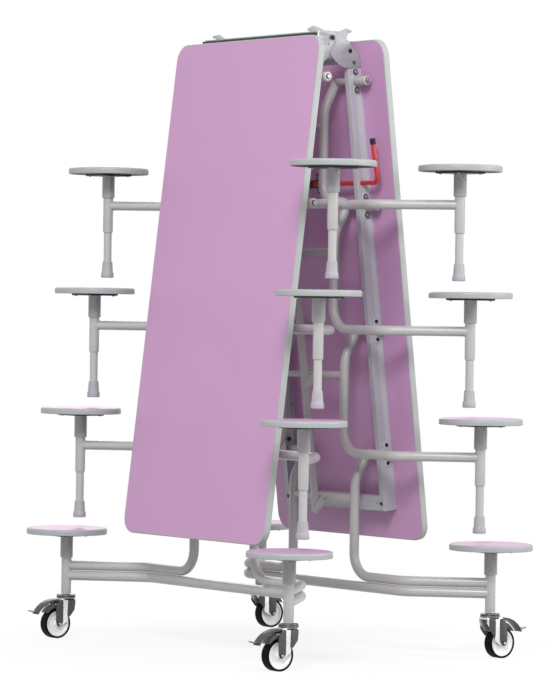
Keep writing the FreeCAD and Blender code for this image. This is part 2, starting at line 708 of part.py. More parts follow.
def clevis(row):
    """Two ears on the stretcher and the pin that carries the link bar."""
    link = link_point(row)
    low, high = stretcher_ends(row)
    middle = (low + high) / 2
    along = (link - middle).normalize()
    across = V(-along.z, 0, along.x) * (CLEVIS_WIDTH / 2)
    inner = LINK_THICKNESS / 2 + SIDE_GAP
    pieces = []
    for side in (-1, 1):
        shift = V(0, side * inner, 0)
        thick = V(0, side * CLEVIS_PLATE, 0)
        corners = [middle + across + shift, link + across + shift, link - across + shift,
                   middle - across + shift, middle + across + shift]
        pieces.append(Part.Face(Part.makePolygon(corners)).extrude(thick))
        pieces.append(rod(link + shift, link + shift + thick, CLEVIS_WIDTH))
    reach = V(0, inner + CLEVIS_PLATE + LINK_PIN_END, 0)
    pieces.append(rod(link - reach, link + reach, LINK_PIN))
    return join(pieces).cut(rod(low, high, STRETCHER_TUBE + 2 * LIE_GAP))


def lower_tube(row):
    """Second tube under the arms of the base, from post to post."""
    pivot = pivot_point(row)
    x = pivot.x - UPRIGHT_SET
    z = pivot.z - ARM_DROP - LOWER_TUBE_SPACING
    points = [V(x + SIDE_STEP, -POST_Y, z), V(x, -KINK_Y, z), V(x, KINK_Y, z), V(x + SIDE_STEP, POST_Y, z)]
    radii = [KINK_RADIUS, KINK_RADIUS]
    bore = bent_rod(points, radii, LOWER_TUBE - 2 * TUBE_WALL)
    return bent_rod(points, radii, LOWER_TUBE).cut([bore, post_notch(row, -1), post_notch(row, 1)])


def link_point(row):
    return pivot_point(row) - V(LINK_INWARD, 0, LINK_DROP)


def row_frame(row):
    """Tubes and clevis that are welded into the frame of one row of the right half."""
    solids = [stretcher(row), clevis(row)]
    for side in (-1, 1):
        solids += [bent_arm(row, side), pivot_tube(row, side), post(row, side)]
    if row == ROW_COUNT - 1:
        solids.append(lower_tube(row))
    return solids


def collar_bolts(row):
    """Hex bolts in the ends of the pivot tubes of a row."""
    solids = []
    pivot = pivot_point(row)
    for side in (-1, 1):
        end = V(pivot.x, side * COLLAR_ENDS[side][row], pivot.z)
        out = V(0, side, 0)
        washer = end + out * COLLAR_WASHER
        pieces = [rod(end - out * COLLAR_PLUG, end, PIVOT_TUBE - 2 * TUBE_WALL - 2 * HOLE_PLAY)]
        pieces.append(rod(end, washer, PIVOT_TUBE))
        pieces.append(hexagon(washer, washer + out * BOLT_HEAD, BOLT_FLATS))
        solids.append(join(pieces))
    return solids


def link_bar():
    """Flat bar along the link pins of the right half."""
    first = link_point(0) - SLOPE * LINK_TAIL
    last = link_point(ROW_COUNT - 1) + SLOPE * LINK_TAIL
    half = OUTWARD * (LINK_WIDTH / 2)
    shoulder = OUTWARD * (LINK_WIDTH / 2 - LINK_CHAMFER)
    chamfer = SLOPE * LINK_CHAMFER
    outline = [first + shoulder, first + half + chamfer, last + half - chamfer, last + shoulder,
               last - shoulder, last - half - chamfer, first - half + chamfer, first - shoulder,
               first + shoulder]
    outline = [V(point.x, -LINK_THICKNESS / 2, point.z) for point in outline]
    bar = Part.Face(Part.makePolygon(outline)).extrude(V(0, LINK_THICKNESS, 0))
    cutters = []
    for row in range(ROW_COUNT):
        centre = link_point(row)
        cutters.append(rod(centre - V(0, 10, 0), centre + V(0, 10, 0), LINK_PIN + 2 * RUN_FIT))
    return bar.cut(cutters)


def stool_places(row):
    """Arm ends of a row on the right half."""
    pivot = pivot_point(row)
    x = pivot.x - UPRIGHT_SET + SIDE_STEP
    return [V(x, -POST_Y, pivot.z - ARM_DROP), V(x, POST_Y, pivot.z - ARM_DROP)]


def seat_screw_places(centre, z):
    half = SEAT_SCREW_PITCH / 2
    return [V(centre.x + dx * half, centre.y + dy * half, centre.z + z) for dx in (-1, 1) for dy in (-1, 1)]


def seat(centre):
    """Round stool top with soft edges and pilot holes."""
    base = centre + V(0, 0, SEAT_BOTTOM)
    disc = Part.makeCylinder(SEAT_DIAMETER / 2, SEAT_THICKNESS, base)
    rims = [edge for edge in disc.Edges if edge.Curve.TypeId == "Part::GeomCircle"]
    disc = disc.makeFillet(SEAT_EDGE_ROUND, rims)
    cutters = []
    for place in seat_screw_places(centre, SEAT_BOTTOM):
        cutters.append(rod(place, place + V(0, 0, SEAT_SCREW_DEPTH + 1), SEAT_SCREW + 2 * HOLE_PLAY))
    return disc.cut(cutters)


def seat_mount(centre):
    """Square plate and sleeve under a seat, its four screws and the clamp screw."""
    plate_z = SEAT_BOTTOM - MOUNT_PLATE
    half = MOUNT_SIDE / 2
    plate = Part.makeBox(MOUNT_SIDE, MOUNT_SIDE, MOUNT_PLATE, centre + V(-half, -half, plate_z))
    corners = [edge for edge in plate.Edges if abs(edge.tangentAt(0).z) > 0.9]
    plate = plate.makeFillet(MOUNT_CORNER, corners)
    sleeve = rod(centre + V(0, 0, SLEEVE_BELOW), centre + V(0, 0, plate_z), SLEEVE_TUBE)
    mount = join([plate, sleeve])
    bore = SLEEVE_TUBE - 2 * SLEEVE_WALL
    cutters = [rod(centre + V(0, 0, SLEEVE_BELOW - 1), centre + V(0, 0, plate_z), bore)]
    screws = []
    for place in seat_screw_places(centre, plate_z):
        cutters.append(rod(place - V(0, 0, 1), place + V(0, 0, MOUNT_PLATE + 1), SEAT_SCREW + 2 * HOLE_PLAY))
        pieces = [rod(place - V(0, 0, SCREW_HEAD_HEIGHT), place, SCREW_HEAD)]
        pieces.append(rod(place, place + V(0, 0, MOUNT_PLATE + SEAT_SCREW_DEPTH), SEAT_SCREW))
        screws.append(join(pieces))
    outward = V(0, math.copysign(1, centre.y), 0)
    inward = outward * -1
    screw_z = V(0, 0, plate_z - CLAMP_SCREW_DROP)
    for facing in (inward, outward):
        face = centre + screw_z + facing * (SLEEVE_TUBE / 2 - CLAMP_SCREW_DEPTH)
        cutters.append(rod(face, face + facing * SLEEVE_WALL, BOLT))
        screws.append(rod(face, face + facing * (CLAMP_SCREW_DEPTH + 1), BOLT - 2 * HOLE_PLAY))
    return [mount.cut(cutters)] + screws


def leg(centre):
    """Height-setting tube in the post, and its foot."""
    top = centre - V(0, 0, POST_BELOW_ARM - LEG_IN_POST)
    foot_top = centre - V(0, 0, ARM_HEIGHT - FOOT_HEIGHT)
    tube_low = foot_top - V(0, 0, FOOT_SOCKET)
    tube = ring(tube_low, top, LEG_TUBE, LEG_TUBE - 2 * LEG_WALL)
    floor = centre - V(0, 0, ARM_HEIGHT)
    ring_top = floor + V(0, 0, FOOT_RING)
    taper = Part.makeCone(FOOT_WAIST / 2, FOOT_TOP / 2, FOOT_HEIGHT - FOOT_RING, ring_top)
    base = Part.makeCone(FOOT_BASE / 2, FOOT_BASE / 2 - 1.2, FOOT_RING, floor)
    foot = join([taper, base]).cut(rod(tube_low, foot_top + V(0, 0, 1), LEG_TUBE + 2 * LIE_GAP))
    return [tube, foot]


def castor(centre, outward):
    """Fork, wheel and pedal under a post. outward is +1 or -1 along X."""
    def at(along, y, z):
        return V(centre.x + outward * along, centre.y + y, z)

    def side_plate(points, y_low, y_high):
        outline = [at(along, y_low, z) for along, z in points]
        return Part.Face(Part.makePolygon(outline + outline[:1])).extrude(V(0, y_high - y_low, 0))

    axle_z = WHEEL_RADIUS
    back = -28
    band_back, band_front = LEG_BAND
    cover_top = HEAD_BOTTOM - 3
    leg_outline = [(back, HEAD_BOTTOM), (back, HEAD_BOTTOM - 18), (band_back, axle_z + 26),
                   (band_back, axle_z + 8), (band_front - 2, axle_z - 2), (TRAIL, axle_z - 14),
                   (TRAIL + 11, axle_z - 3), (TRAIL + 11, axle_z + 12), (38, HEAD_BOTTOM)]
    axle_cover = [(band_front, cover_top), (band_front, axle_z + 1), (TRAIL + 3, axle_z - 12),
                  (TRAIL + 13, axle_z + 3), (TRAIL + 13, axle_z + 58), (40, cover_top)]
    heel_cover = [(band_back, cover_top), (HEEL_END, cover_top), (HEEL_END + 2, axle_z + 46),
                  (band_back - 7, axle_z + 24), (band_back, axle_z + 22)]
    inside = FORK_GAP
    outside = FORK_GAP + FORK_WALL
    head_top = CASTOR_HEIGHT - HEAD_GAP
    head_slope = 6
    fork = [rod(at(0, 0, HEAD_BOTTOM), at(0, 0, head_top - head_slope), HEAD_DIAMETER)]
    fork.append(Part.makeCone(HEAD_DIAMETER / 2, STEM, head_slope, at(0, 0, head_top - head_slope)))
    fork.append(rod(at(0, 0, HEAD_BOTTOM + 1), at(0, 0, CASTOR_HEIGHT + STEM_LENGTH), STEM))
    fork.append(side_plate([(back, HEAD_BOTTOM - 6), (back, HEAD_BOTTOM + 1), (20, HEAD_BOTTOM + 1),
                            (20, HEAD_BOTTOM - 6)], -outside, outside))
    fork.append(side_plate(leg_outline, inside, outside))
    fork.append(side_plate(leg_outline, -outside, -inside))
    fork = join(fork)
    pedal_pivot = at(PEDAL_PIVOT[0], 0, HEAD_BOTTOM - PEDAL_PIVOT[1])
    axle_point = at(TRAIL, 0, axle_z)
    reach = V(0, 30, 0)
    fork = fork.cut([rod(pedal_pivot - reach, pedal_pivot + reach, PEDAL_PIN + 2 * RUN_FIT),
                     rod(axle_point - reach, axle_point + reach, AXLE + 2 * LIE_GAP)])

    ends = V(0, outside + GUARD_WALL + SIDE_GAP, 0)
    axle = [rod(axle_point - ends, axle_point + ends, AXLE)]
    for side in (-1, 1):
        face = axle_point + ends * side
        axle.append(hexagon(face, face + V(0, side * 4, 0), AXLE + 3))
    axle = join(axle)

    fender_half = V(0, inside - SIDE_GAP, 0)
    fender = rod(axle_point - fender_half, axle_point + fender_half, 2 * GUARD_OUTER)
    fender = fender.cut(rod(axle_point - reach, axle_point + reach, 2 * GUARD_INNER))
    keep = [(TRAIL, axle_z)]
    wide = 2 * GUARD_OUTER
    for angle in GUARD_ARC:
        turn = math.radians(angle)
        keep.append((TRAIL + wide * math.cos(turn), axle_z + wide * math.sin(turn)))
    fender = fender.common(side_plate(keep, -40, 40))
    covers = []
    for side in (-1, 1):
        low = min(side * (outside + SIDE_GAP), side * (outside + SIDE_GAP + GUARD_WALL))
        cover = side_plate(axle_cover, low, low + GUARD_WALL)
        cover = cover.cut(rod(axle_point - reach, axle_point + reach, AXLE + 2 * LIE_GAP))
        covers.append(cover.cut(rod(pedal_pivot - reach, pedal_pivot + reach, PEDAL_PIN + 2 * RUN_FIT)))
        covers.append(side_plate(heel_cover, low, low + GUARD_WALL))

    half = WHEEL_WIDTH / 2
    tread = Part.makeCylinder(WHEEL_RADIUS, WHEEL_WIDTH, axle_point - V(0, half, 0), V(0, 1, 0))
    rims = [edge for edge in tread.Edges if edge.Curve.TypeId == "Part::GeomCircle"]
    tyre = tread.makeFillet(TYRE_ROUND, rims)
    hub_radius = WHEEL_RADIUS - TYRE_DEPTH
    tyre = tyre.cut(rod(axle_point - reach, axle_point + reach, 2 * hub_radius))
    face = V(0, half - 2.5, 0)
    hub = rod(axle_point - face, axle_point + face, 2 * (hub_radius - LIE_GAP))
    boss = V(0, inside - SIDE_GAP, 0)
    hub = join([hub, rod(axle_point - boss, axle_point + boss, HUB_BOSS)])
    hub = hub.cut(rod(axle_point - reach, axle_point + reach, AXLE + 2 * RUN_FIT))

    curve_centre = at(PEDAL_CENTRE[0], 0, HEAD_BOTTOM - PEDAL_CENTRE[1])
    pedal_half = V(0, inside - 1.0, 0)
    blade = rod(curve_centre - pedal_half, curve_centre + pedal_half, 2 * PEDAL_RADIUS)
    blade = blade.cut(rod(curve_centre - reach, curve_centre + reach, 2 * (PEDAL_RADIUS - PEDAL_THICKNESS)))
    above = HEAD_BOTTOM
    below = HEAD_BOTTOM - 54
    blade = blade.common(side_plate([(PEDAL_START, below), (PEDAL_START, above), (PEDAL_END, above),
                                     (PEDAL_END, below)], -40, 40))
    lug = rod(pedal_pivot - pedal_half, pedal_pivot + pedal_half, PEDAL_LUG)
    pin = rod(pedal_pivot - V(0, outside + 2, 0), pedal_pivot + V(0, outside + 2, 0), PEDAL_PIN)
    tip_half = PEDAL_TIP_WIDTH / 2
    tip_start = PEDAL_END - PEDAL_TIP_LAP
    tip_low = HEAD_BOTTOM - PEDAL_TIP_DROP
    tip_high = tip_low + PEDAL_TIP_THICKNESS
    tip = side_plate([(tip_start, tip_low), (PEDAL_TIP_END - 8, tip_low), (PEDAL_TIP_END, tip_low + 4),
                      (PEDAL_TIP_END, tip_low + 6), (PEDAL_TIP_END - 9, tip_high), (tip_start, tip_high)],
                     -tip_half, tip_half)
    pedal = join([blade, lug, pin, tip])
    return [fork, axle, fender] + covers, [hub, tyre], [pedal]


def lever():
    """Rod across both rails with its handle bent up outside the near one, and a catch plate."""
    centre = on_top(LEVER_ALONG, LEVER_OUT)
    far = V(centre.x, LEVER_FAR_END, centre.z)
    corner = V(centre.x, -LEVER_HANDLE_Y, centre.z)
    upward = V(-math.sin(LEVER_LEAN), 0, math.cos(LEVER_LEAN))
    tip = corner + upward * (LEVER_HANDLE - LEVER_CAP_LENGTH)
    handle = bent_rod([far, corner, tip], [LEVER_BEND], LEVER_ROD)
    cap = rod(tip, tip + upward * LEVER_CAP_LENGTH, LEVER_CAP)
    catch_y = V(0, HOOK_Y, 0)
    hook = [centre + V(9, 0, 14), centre + V(9, 0, -14), centre + V(-34, 0, -10), centre + V(-40, 0, 8),
            centre + V(-32, 0, 14), centre + V(-28, 0, 3), centre + V(-12, 0, 3), centre + V(-8, 0, 14),
            centre + V(9, 0, 14)]
    plate = Part.Face(Part.makePolygon([point + catch_y for point in hook])).extrude(V(0, HOOK_THICKNESS, 0))
    return join([handle, plate]), cap


def lever_bracket():
    """Saddle on the underside of the panel that carries the middle of the lever rod."""
    flange = UNDERSIDE - SADDLE_PLATE
    post = LEVER_OUT - LEVER_ROD * 3 / 4
    half = LEVER_ROD / 2 + 5
    reach = LEVER_SCREW_SPREAD + 12
    corners = []
    for along, out in ((-reach, UNDERSIDE), (reach, UNDERSIDE), (reach, flange), (half, flange),
                       (half, post), (-half, post), (-half, flange), (-reach, flange)):
        corners.append(on_top(LEVER_ALONG + along, out, -SADDLE_WIDTH / 2))
    block = Part.Face(Part.makePolygon(corners + corners[:1])).extrude(V(0, SADDLE_WIDTH, 0))
    centre = on_top(LEVER_ALONG, LEVER_OUT)
    cutters = [rod(centre - V(0, 30, 0), centre + V(0, 30, 0), LEVER_ROD + 2 * RUN_FIT)]
    for shift in (-LEVER_SCREW_SPREAD, LEVER_SCREW_SPREAD):
        start = on_top(LEVER_ALONG + shift, UNDERSIDE - 10)
        cutters.append(rod(start, start + OUTWARD * 12, WOOD_SCREW + 2 * HOLE_PLAY))
    return block.cut(cutters)


def lever_screw_places():
    return [(LEVER_ALONG - LEVER_SCREW_SPREAD, 0.0), (LEVER_ALONG + LEVER_SCREW_SPREAD, 0.0)]


def strip_screw_places():
    along = END_GAP + EDGING_WIDTH + STRIP_SCREW_INSET
    return [(along, step * STRIP_SCREW_PITCH) for step in (-1, 0, 1)]


def gap_strip():
    """Flat bar under the end of the top, and the rubber seal on it."""
    side = STRIP_SHIFT - STRIP_WIDTH / 2

    def bar(start, end, low, high):
        points = [on_top(start, low, side), on_top(end, low, side), on_top(end, high, side),
                  on_top(start, high, side), on_top(start, low, side)]
        return Part.Face(Part.makePolygon(points)).extrude(V(0, STRIP_WIDTH, 0))

    flat = bar(STRIP_START, STRIP_END, UNDERSIDE - STRIP_THICKNESS, UNDERSIDE)
    seal = bar(SEAL_START, END_GAP - SIDE_GAP, UNDERSIDE, UNDERSIDE + SEAL_THICKNESS)
    cutters = []
    for along, across in strip_screw_places():
        start = on_top(along, UNDERSIDE - 2 * STRIP_THICKNESS, across)
        cutters.append(rod(start, start + OUTWARD * (3 * STRIP_THICKNESS), WOOD_SCREW + 2 * HOLE_PLAY))
    return [flat.cut(cutters), seal]


def build_top(name, place, with_lever):
    """One top with everything fixed to it. place puts the right-hand solids where they go."""
    strip_holes = [] if with_lever else strip_screw_places()
    lever_holes = lever_screw_places() if with_lever else []
    panel, edging = top_and_edging(strip_holes + lever_holes)
    save(name + "_table_top", place([panel]))
    save(name + "_edging", place([edging]))
    save(name + "_rails", place(rails(with_lever)))
    bearings = [bearing(row, side) for row in range(ROW_COUNT) for side in (-1, 1)]
    if with_lever:
        bearings.append(lever_bracket())
    save(name + "_pivot_bearings", place(bearings))
    save(name + "_hinge_plates", place([hinge_plate("inner", -1), hinge_plate("outer", 1)]))
    fasteners = top_fasteners(-1)
    if with_lever:
        fasteners += hinge_pins()
        fasteners += [wood_screw(along, UNDERSIDE - SADDLE_PLATE, across)
                      for along, across in lever_screw_places()]
    else:
        fasteners += [wood_screw(along, UNDERSIDE - STRIP_THICKNESS, across)
                      for along, across in strip_screw_places()]
        save("gap_strip", place(gap_strip()))
    save(name + "_fasteners", place(fasteners))


def build_rows(name, place):
    for row in range(ROW_COUNT):
        last = row == ROW_COUNT - 1
        label = name + ("_base" if last else "_row_" + str(row + 1))
        save(label + "_frame", place(row_frame(row) + collar_bolts(row)))
        places = stool_places(row)
        save(label + "_seats", place([seat(centre) for centre in places]))
        mounts = []
        for centre in places:
            mounts += seat_mount(centre)
        save(label + "_seat_mounts", place(mounts))
        if not last:
            legs = []
            for centre in places:
                legs += leg(centre)
            save(label + "_legs", place(legs))
    save(name + "_link_bar", place([link_bar()]))


def build_castors(name, place):
    for centre, side in zip(stool_places(ROW_COUNT - 1), ("a", "b")):
        fork, wheel, pedal = castor(centre, 1)
        label = "castor_" + name + "_" + side
        save(label + "_fork", place(fork))
        save(label + "_wheel", place(wheel))
        save(label + "_pedal", place(pedal))


for half_name, half_place, has_lever in (("right", list, True), ("left", turned, False)):
    build_top(half_name, half_place, has_lever)
    build_rows(half_name, half_place)
    build_castors(half_name, half_place)
save("spring_tube", [spring_tube()])
lever_rod, lever_cap = lever()
save("lock_lever", [lever_rod])
save("lever_cap", [lever_cap])
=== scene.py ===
import bmesh
import bpy
import json
import math
from mathutils import Matrix, Vector

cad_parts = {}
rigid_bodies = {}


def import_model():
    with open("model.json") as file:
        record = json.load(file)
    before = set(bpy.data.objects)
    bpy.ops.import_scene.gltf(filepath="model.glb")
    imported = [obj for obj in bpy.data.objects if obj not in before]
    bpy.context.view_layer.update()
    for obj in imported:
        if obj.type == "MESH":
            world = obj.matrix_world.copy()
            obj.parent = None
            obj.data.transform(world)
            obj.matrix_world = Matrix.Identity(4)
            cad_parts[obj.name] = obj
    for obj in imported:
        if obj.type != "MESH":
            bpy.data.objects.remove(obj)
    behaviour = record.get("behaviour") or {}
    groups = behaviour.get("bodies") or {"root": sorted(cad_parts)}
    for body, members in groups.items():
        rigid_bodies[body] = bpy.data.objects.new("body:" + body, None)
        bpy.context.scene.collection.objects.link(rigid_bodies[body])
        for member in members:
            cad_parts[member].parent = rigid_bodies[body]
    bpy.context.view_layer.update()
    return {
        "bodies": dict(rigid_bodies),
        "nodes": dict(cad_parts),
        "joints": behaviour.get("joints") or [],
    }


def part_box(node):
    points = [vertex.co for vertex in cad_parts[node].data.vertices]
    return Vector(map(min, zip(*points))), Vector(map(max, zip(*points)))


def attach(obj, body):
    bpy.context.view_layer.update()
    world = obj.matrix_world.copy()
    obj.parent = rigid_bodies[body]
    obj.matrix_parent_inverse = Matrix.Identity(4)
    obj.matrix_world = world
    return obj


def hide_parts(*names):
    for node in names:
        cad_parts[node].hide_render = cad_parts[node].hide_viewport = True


# A mobile folding dining table with sixteen round stools, folded upright on its castors.
# Metres, in the frame of the construction model: +X along the open table, +Y across, +Z up.

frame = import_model()

JOINT = {joint["name"]: Vector(joint["pos_m"]) for joint in frame["joints"]}
HALVES = {"right": 1, "left": -1}        # side of each half along X
MM = 0.001

# ---- frame tubes, as in the construction model
UPRIGHT_Y = 0.170
UPRIGHT_SET = 0.0509
LEAN_DROP = 0.095
ARM_RADIUS = 0.016
PIVOT_RADIUS = 0.01345
POST_RADIUS = 0.01685
STRETCHER_RADIUS = 0.0127
STRETCHER_DROP = 0.151
ARM_DROP = 0.4076
POST_Y = 0.6357
SIDE_STEP = 0.2031
LOWER_TUBE_DROP = 0.034

# ---- stools
SEAT_RADIUS = 0.1365
SEAT_RIM = 0.0075
FOOT_TOP_Z = 0.056

# ---- castors
AXLE_TRAIL = 0.0416
AXLE_Z = 0.050
FORK_INSIDE = 0.0195
FORK_WALL = 0.003
COVER_WALL = 0.0025
LEG_BAND = (0.005, 0.026)                # bare zinc between a leg's two covers, along the trail
COVER_TOP = 0.131

# ---- pivot bearings and the ends of the pivot tubes
FOLD_TILT = math.radians(7.03)
BEARING_FACE = 0.275
BOLT_SPREAD = 0.030
PLUG_LENGTH = 0.012
MOUNT_PLATE = 0.006
LEVER_LEAN = math.radians(11.0)


# =====================================================================
# Finishes
# =====================================================================

def shade(red, green, blue):
    """Linear colour of an sRGB one given in 0 to 255."""
    channels = []
    for value in (red, green, blue):
        value /= 255
        channels.append(value / 12.92 if value <= 0.04045 else ((value + 0.055) / 1.055) ** 2.4)
    return (*channels, 1.0)


def add(tree, kind, inputs=None, **settings):
    """A node with its settings; an input is a value or another node's socket."""
    node = tree.nodes.new(kind)
    for name, value in settings.items():
        setattr(node, name, value)
    for name, value in (inputs or {}).items():
        if isinstance(value, bpy.types.NodeSocket):
            tree.links.new(value, node.inputs[name])
        else:
            node.inputs[name].default_value = value
    return node


def maths(tree, operation, first, second, clamp=False):
    return add(tree, "ShaderNodeMath", {0: first, 1: second}, operation=operation, use_clamp=clamp).outputs[0]


def blended(tree, factor, first, second):
    node = add(tree, "ShaderNodeMix", data_type="RGBA")
    for socket, value in (("Factor_Float", factor), ("A_Color", first), ("B_Color", second)):
        target = next(item for item in node.inputs if item.identifier == socket)
        if isinstance(value, bpy.types.NodeSocket):
            tree.links.new(value, target)
        else:
            target.default_value = value
    return next(item for item in node.outputs if item.identifier == "Result_Color")


def shader_group(name, inputs, outputs):
    """Empty shader group, with its input node's outputs and its output node's inputs."""
    tree = bpy.data.node_groups.new(name, "ShaderNodeTree")
    for label, default in inputs.items():
        kind = "NodeSocketColor" if isinstance(default, tuple) else "NodeSocketFloat"
        tree.interface.new_socket(label, in_out="INPUT", socket_type=kind).default_value = default
    for label in outputs:
        kind = "NodeSocketColor" if label == "Colour" else "NodeSocketFloat"
        tree.interface.new_socket(label, in_out="OUTPUT", socket_type=kind)
    return tree, tree.nodes.new("NodeGroupInput").outputs, tree.nodes.new("NodeGroupOutput").inputs


def object_noise(tree, scale, detail=2.0, distortion=0.0, stretch=None):
    where = add(tree, "ShaderNodeTexCoord").outputs["Object"]
    if stretch:
        where = add(tree, "ShaderNodeVectorMath", {0: where, 1: stretch}, operation="MULTIPLY").outputs[0]
    return add(tree, "ShaderNodeTexNoise", {"Vector": where, "Scale": scale, "Detail": detail,
                                            "Distortion": distortion}).outputs["Fac"]


def mottle_group():
    """Two close tones in soft patches, a fine grain, and roughness that drifts with them."""
    tree, given, result = shader_group(
        "mottle", {"Colour": (0.5, 0.5, 0.5, 1.0), "Patch Colour": (0.4, 0.4, 0.4, 1.0), "Patch Scale": 9.0,
                   "Patch Amount": 0.5, "Grain Scale": 900.0, "Grain Tone": 0.05, "Roughness": 0.4,
                   "Roughness Spread": 0.1}, ["Colour", "Roughness", "Height"])
    patch = object_noise(tree, given["Patch Scale"], 3.0, 0.4)
    grain = object_noise(tree, given["Grain Scale"], 2.0)
    centred = maths(tree, "SUBTRACT", patch, 0.35, clamp=True)
    amount = maths(tree, "MULTIPLY", maths(tree, "MULTIPLY", centred, 3.0, clamp=True), given["Patch Amount"])
    tone = blended(tree, amount, given["Colour"], given["Patch Colour"])
    swing = maths(tree, "MULTIPLY", maths(tree, "SUBTRACT", grain, 0.5), given["Grain Tone"])
    bright = add(tree, "ShaderNodeHueSaturation", {"Color": tone, "Value": maths(tree, "ADD", swing, 1.0)})
    drift = maths(tree, "MULTIPLY", maths(tree, "SUBTRACT", patch, 0.5), given["Roughness Spread"])
    tree.links.new(bright.outputs[0], result["Colour"])
    tree.links.new(maths(tree, "ADD", drift, given["Roughness"], clamp=True), result["Roughness"])
    tree.links.new(grain, result["Height"])
    return tree


def scuff_group():
    """Sparse drawn-out scuffs."""
    tree, given, result = shader_group("scuffs", {"Scale": 30.0, "Amount": 0.5}, ["Mask"])
    broad = object_noise(tree, given["Scale"], 4.0, 1.5, (1.0, 1.0, 6.0))
    fine = object_noise(tree, maths(tree, "MULTIPLY", given["Scale"], 9.0), 2.0, 0.0, (5.0, 1.0, 1.0))
    both = maths(tree, "MULTIPLY", maths(tree, "SUBTRACT", broad, 0.56, clamp=True),
                 maths(tree, "SUBTRACT", fine, 0.4, clamp=True))
    strong = maths(tree, "MULTIPLY", both, 45.0, clamp=True)
    tree.links.new(maths(tree, "MULTIPLY", strong, given["Amount"]), result["Mask"])
    return tree


def dust_group():
    """Thin dust on faces that look up."""
    tree, given, result = shader_group("settled_dust", {"Amount": 0.3}, ["Mask"])
    up = add(tree, "ShaderNodeSeparateXYZ", {0: add(tree, "ShaderNodeNewGeometry").outputs["Normal"]}).outputs["Z"]
    facing = maths(tree, "MULTIPLY", maths(tree, "SUBTRACT", up, 0.45, clamp=True), 1.8, clamp=True)
    cloud = object_noise(tree, 55.0, 4.0, 0.6)
    mask = maths(tree, "MULTIPLY", maths(tree, "MULTIPLY", facing, cloud), given["Amount"])
    tree.links.new(mask, result["Mask"])
    return tree


def spangle_group():
    """Crystal facets of a zinc coat."""
    tree, given, result = shader_group("zinc_spangle", {"Scale": 160.0, "Amount": 0.3}, ["Tone"])
    where = add(tree, "ShaderNodeTexCoord").outputs["Object"]
    cells = add(tree, "ShaderNodeTexVoronoi", {"Vector": where, "Scale": given["Scale"], "Randomness": 1.0})
    level = add(tree, "ShaderNodeSeparateColor", {0: cells.outputs["Color"]}).outputs[0]
    tree.links.new(maths(tree, "MULTIPLY", maths(tree, "SUBTRACT", level, 0.5), given["Amount"]), result["Tone"])
    return tree


MOTTLE = mottle_group()
SCUFFS = scuff_group()
DUST = dust_group()
SPANGLE = spangle_group()
DUST_COLOUR = shade(214, 211, 205)


def finish(name, colour, patch, roughness, metallic=0.0, coat=0.0, patch_scale=9.0, patch_amount=0.5,
           grain_scale=900.0, grain_tone=0.05, bump=0.1, bump_depth=0.0002, spread=0.1, scuffs=0.0,
           scuff_colour=None, dust=0.0, spangle=0.0, specular=0.5):
    """Material with a mottled tone, a grain in the bump, and scuffs, dust or zinc spangle."""
    material = bpy.data.materials.new(name)
    material.use_nodes = True
    tree = material.node_tree
    shader = tree.nodes["Principled BSDF"]
    base = add(tree, "ShaderNodeGroup", node_tree=MOTTLE)
    values = {"Colour": colour, "Patch Colour": patch, "Patch Scale": patch_scale, "Patch Amount": patch_amount,
              "Grain Scale": grain_scale, "Grain Tone": grain_tone, "Roughness": roughness,
              "Roughness Spread": spread}
    for label, value in values.items():
        base.inputs[label].default_value = value
    tone = base.outputs["Colour"]
    rough = base.outputs["Roughness"]
    if spangle:
        facets = add(tree, "ShaderNodeGroup", {"Amount": spangle}, node_tree=SPANGLE).outputs["Tone"]
        level = maths(tree, "ADD", facets, 1.0)
        tone = add(tree, "ShaderNodeHueSaturation", {"Color": tone, "Value": level}).outputs[0]
        rough = maths(tree, "ADD", rough, maths(tree, "MULTIPLY", facets, 0.5), clamp=True)
    if scuffs:
        mask = add(tree, "ShaderNodeGroup", {"Amount": scuffs}, node_tree=SCUFFS).outputs["Mask"]
        tone = blended(tree, mask, tone, scuff_colour or patch)
        rough = maths(tree, "ADD", rough, maths(tree, "MULTIPLY", mask, 0.25), clamp=True)
    if dust:
        mask = add(tree, "ShaderNodeGroup", {"Amount": dust}, node_tree=DUST).outputs["Mask"]
        tone = blended(tree, mask, tone, DUST_COLOUR)
        rough = maths(tree, "ADD", rough, maths(tree, "MULTIPLY", mask, 0.4), clamp=True)
    relief = add(tree, "ShaderNodeBump", {"Height": base.outputs["Height"], "Strength": bump,
                                          "Distance": bump_depth})
    tree.links.new(tone, shader.inputs["Base Color"])
    tree.links.new(rough, shader.inputs["Roughness"])
    tree.links.new(relief.outputs[0], shader.inputs["Normal"])
    shader.inputs["Metallic"].default_value = metallic
    shader.inputs["Coat Weight"].default_value = coat
    shader.inputs["Coat Roughness"].default_value = 0.12
    shader.inputs["Specular IOR Level"].default_value = specular
    return material


PINK = finish("pink_laminate", shade(205, 158, 200), shade(201, 154, 197), 0.42, patch_scale=3.0,
              grain_scale=1600.0, grain_tone=0.05, bump=0.18, spread=0.08, dust=0.05)
EDGING = finish("edging_grey", shade(176, 180, 178), shade(168, 173, 171), 0.44, grain_scale=1300.0, bump=0.2,
                patch_scale=14.0, scuffs=0.12, scuff_colour=shade(150, 153, 151), dust=0.1)
PAINT = finish("frame_powder_coat", shade(190, 189, 188), shade(182, 181, 180), 0.34, grain_scale=620.0,
               bump=0.16, bump_depth=0.0004, coat=0.15, scuffs=0.1, scuff_colour=shade(155, 153, 150), dust=0.12)
HINGE_PAINT = finish("hinge_powder_coat", shade(161, 163, 167), shade(154, 156, 160), 0.38, grain_scale=620.0,
                     bump=0.16, bump_depth=0.0004, coat=0.1, dust=0.1)
RAIL_PAINT = finish("rail_powder_coat", shade(190, 193, 197), shade(183, 186, 190), 0.38, grain_scale=620.0,
                    bump=0.16, bump_depth=0.0004, coat=0.1, dust=0.1)
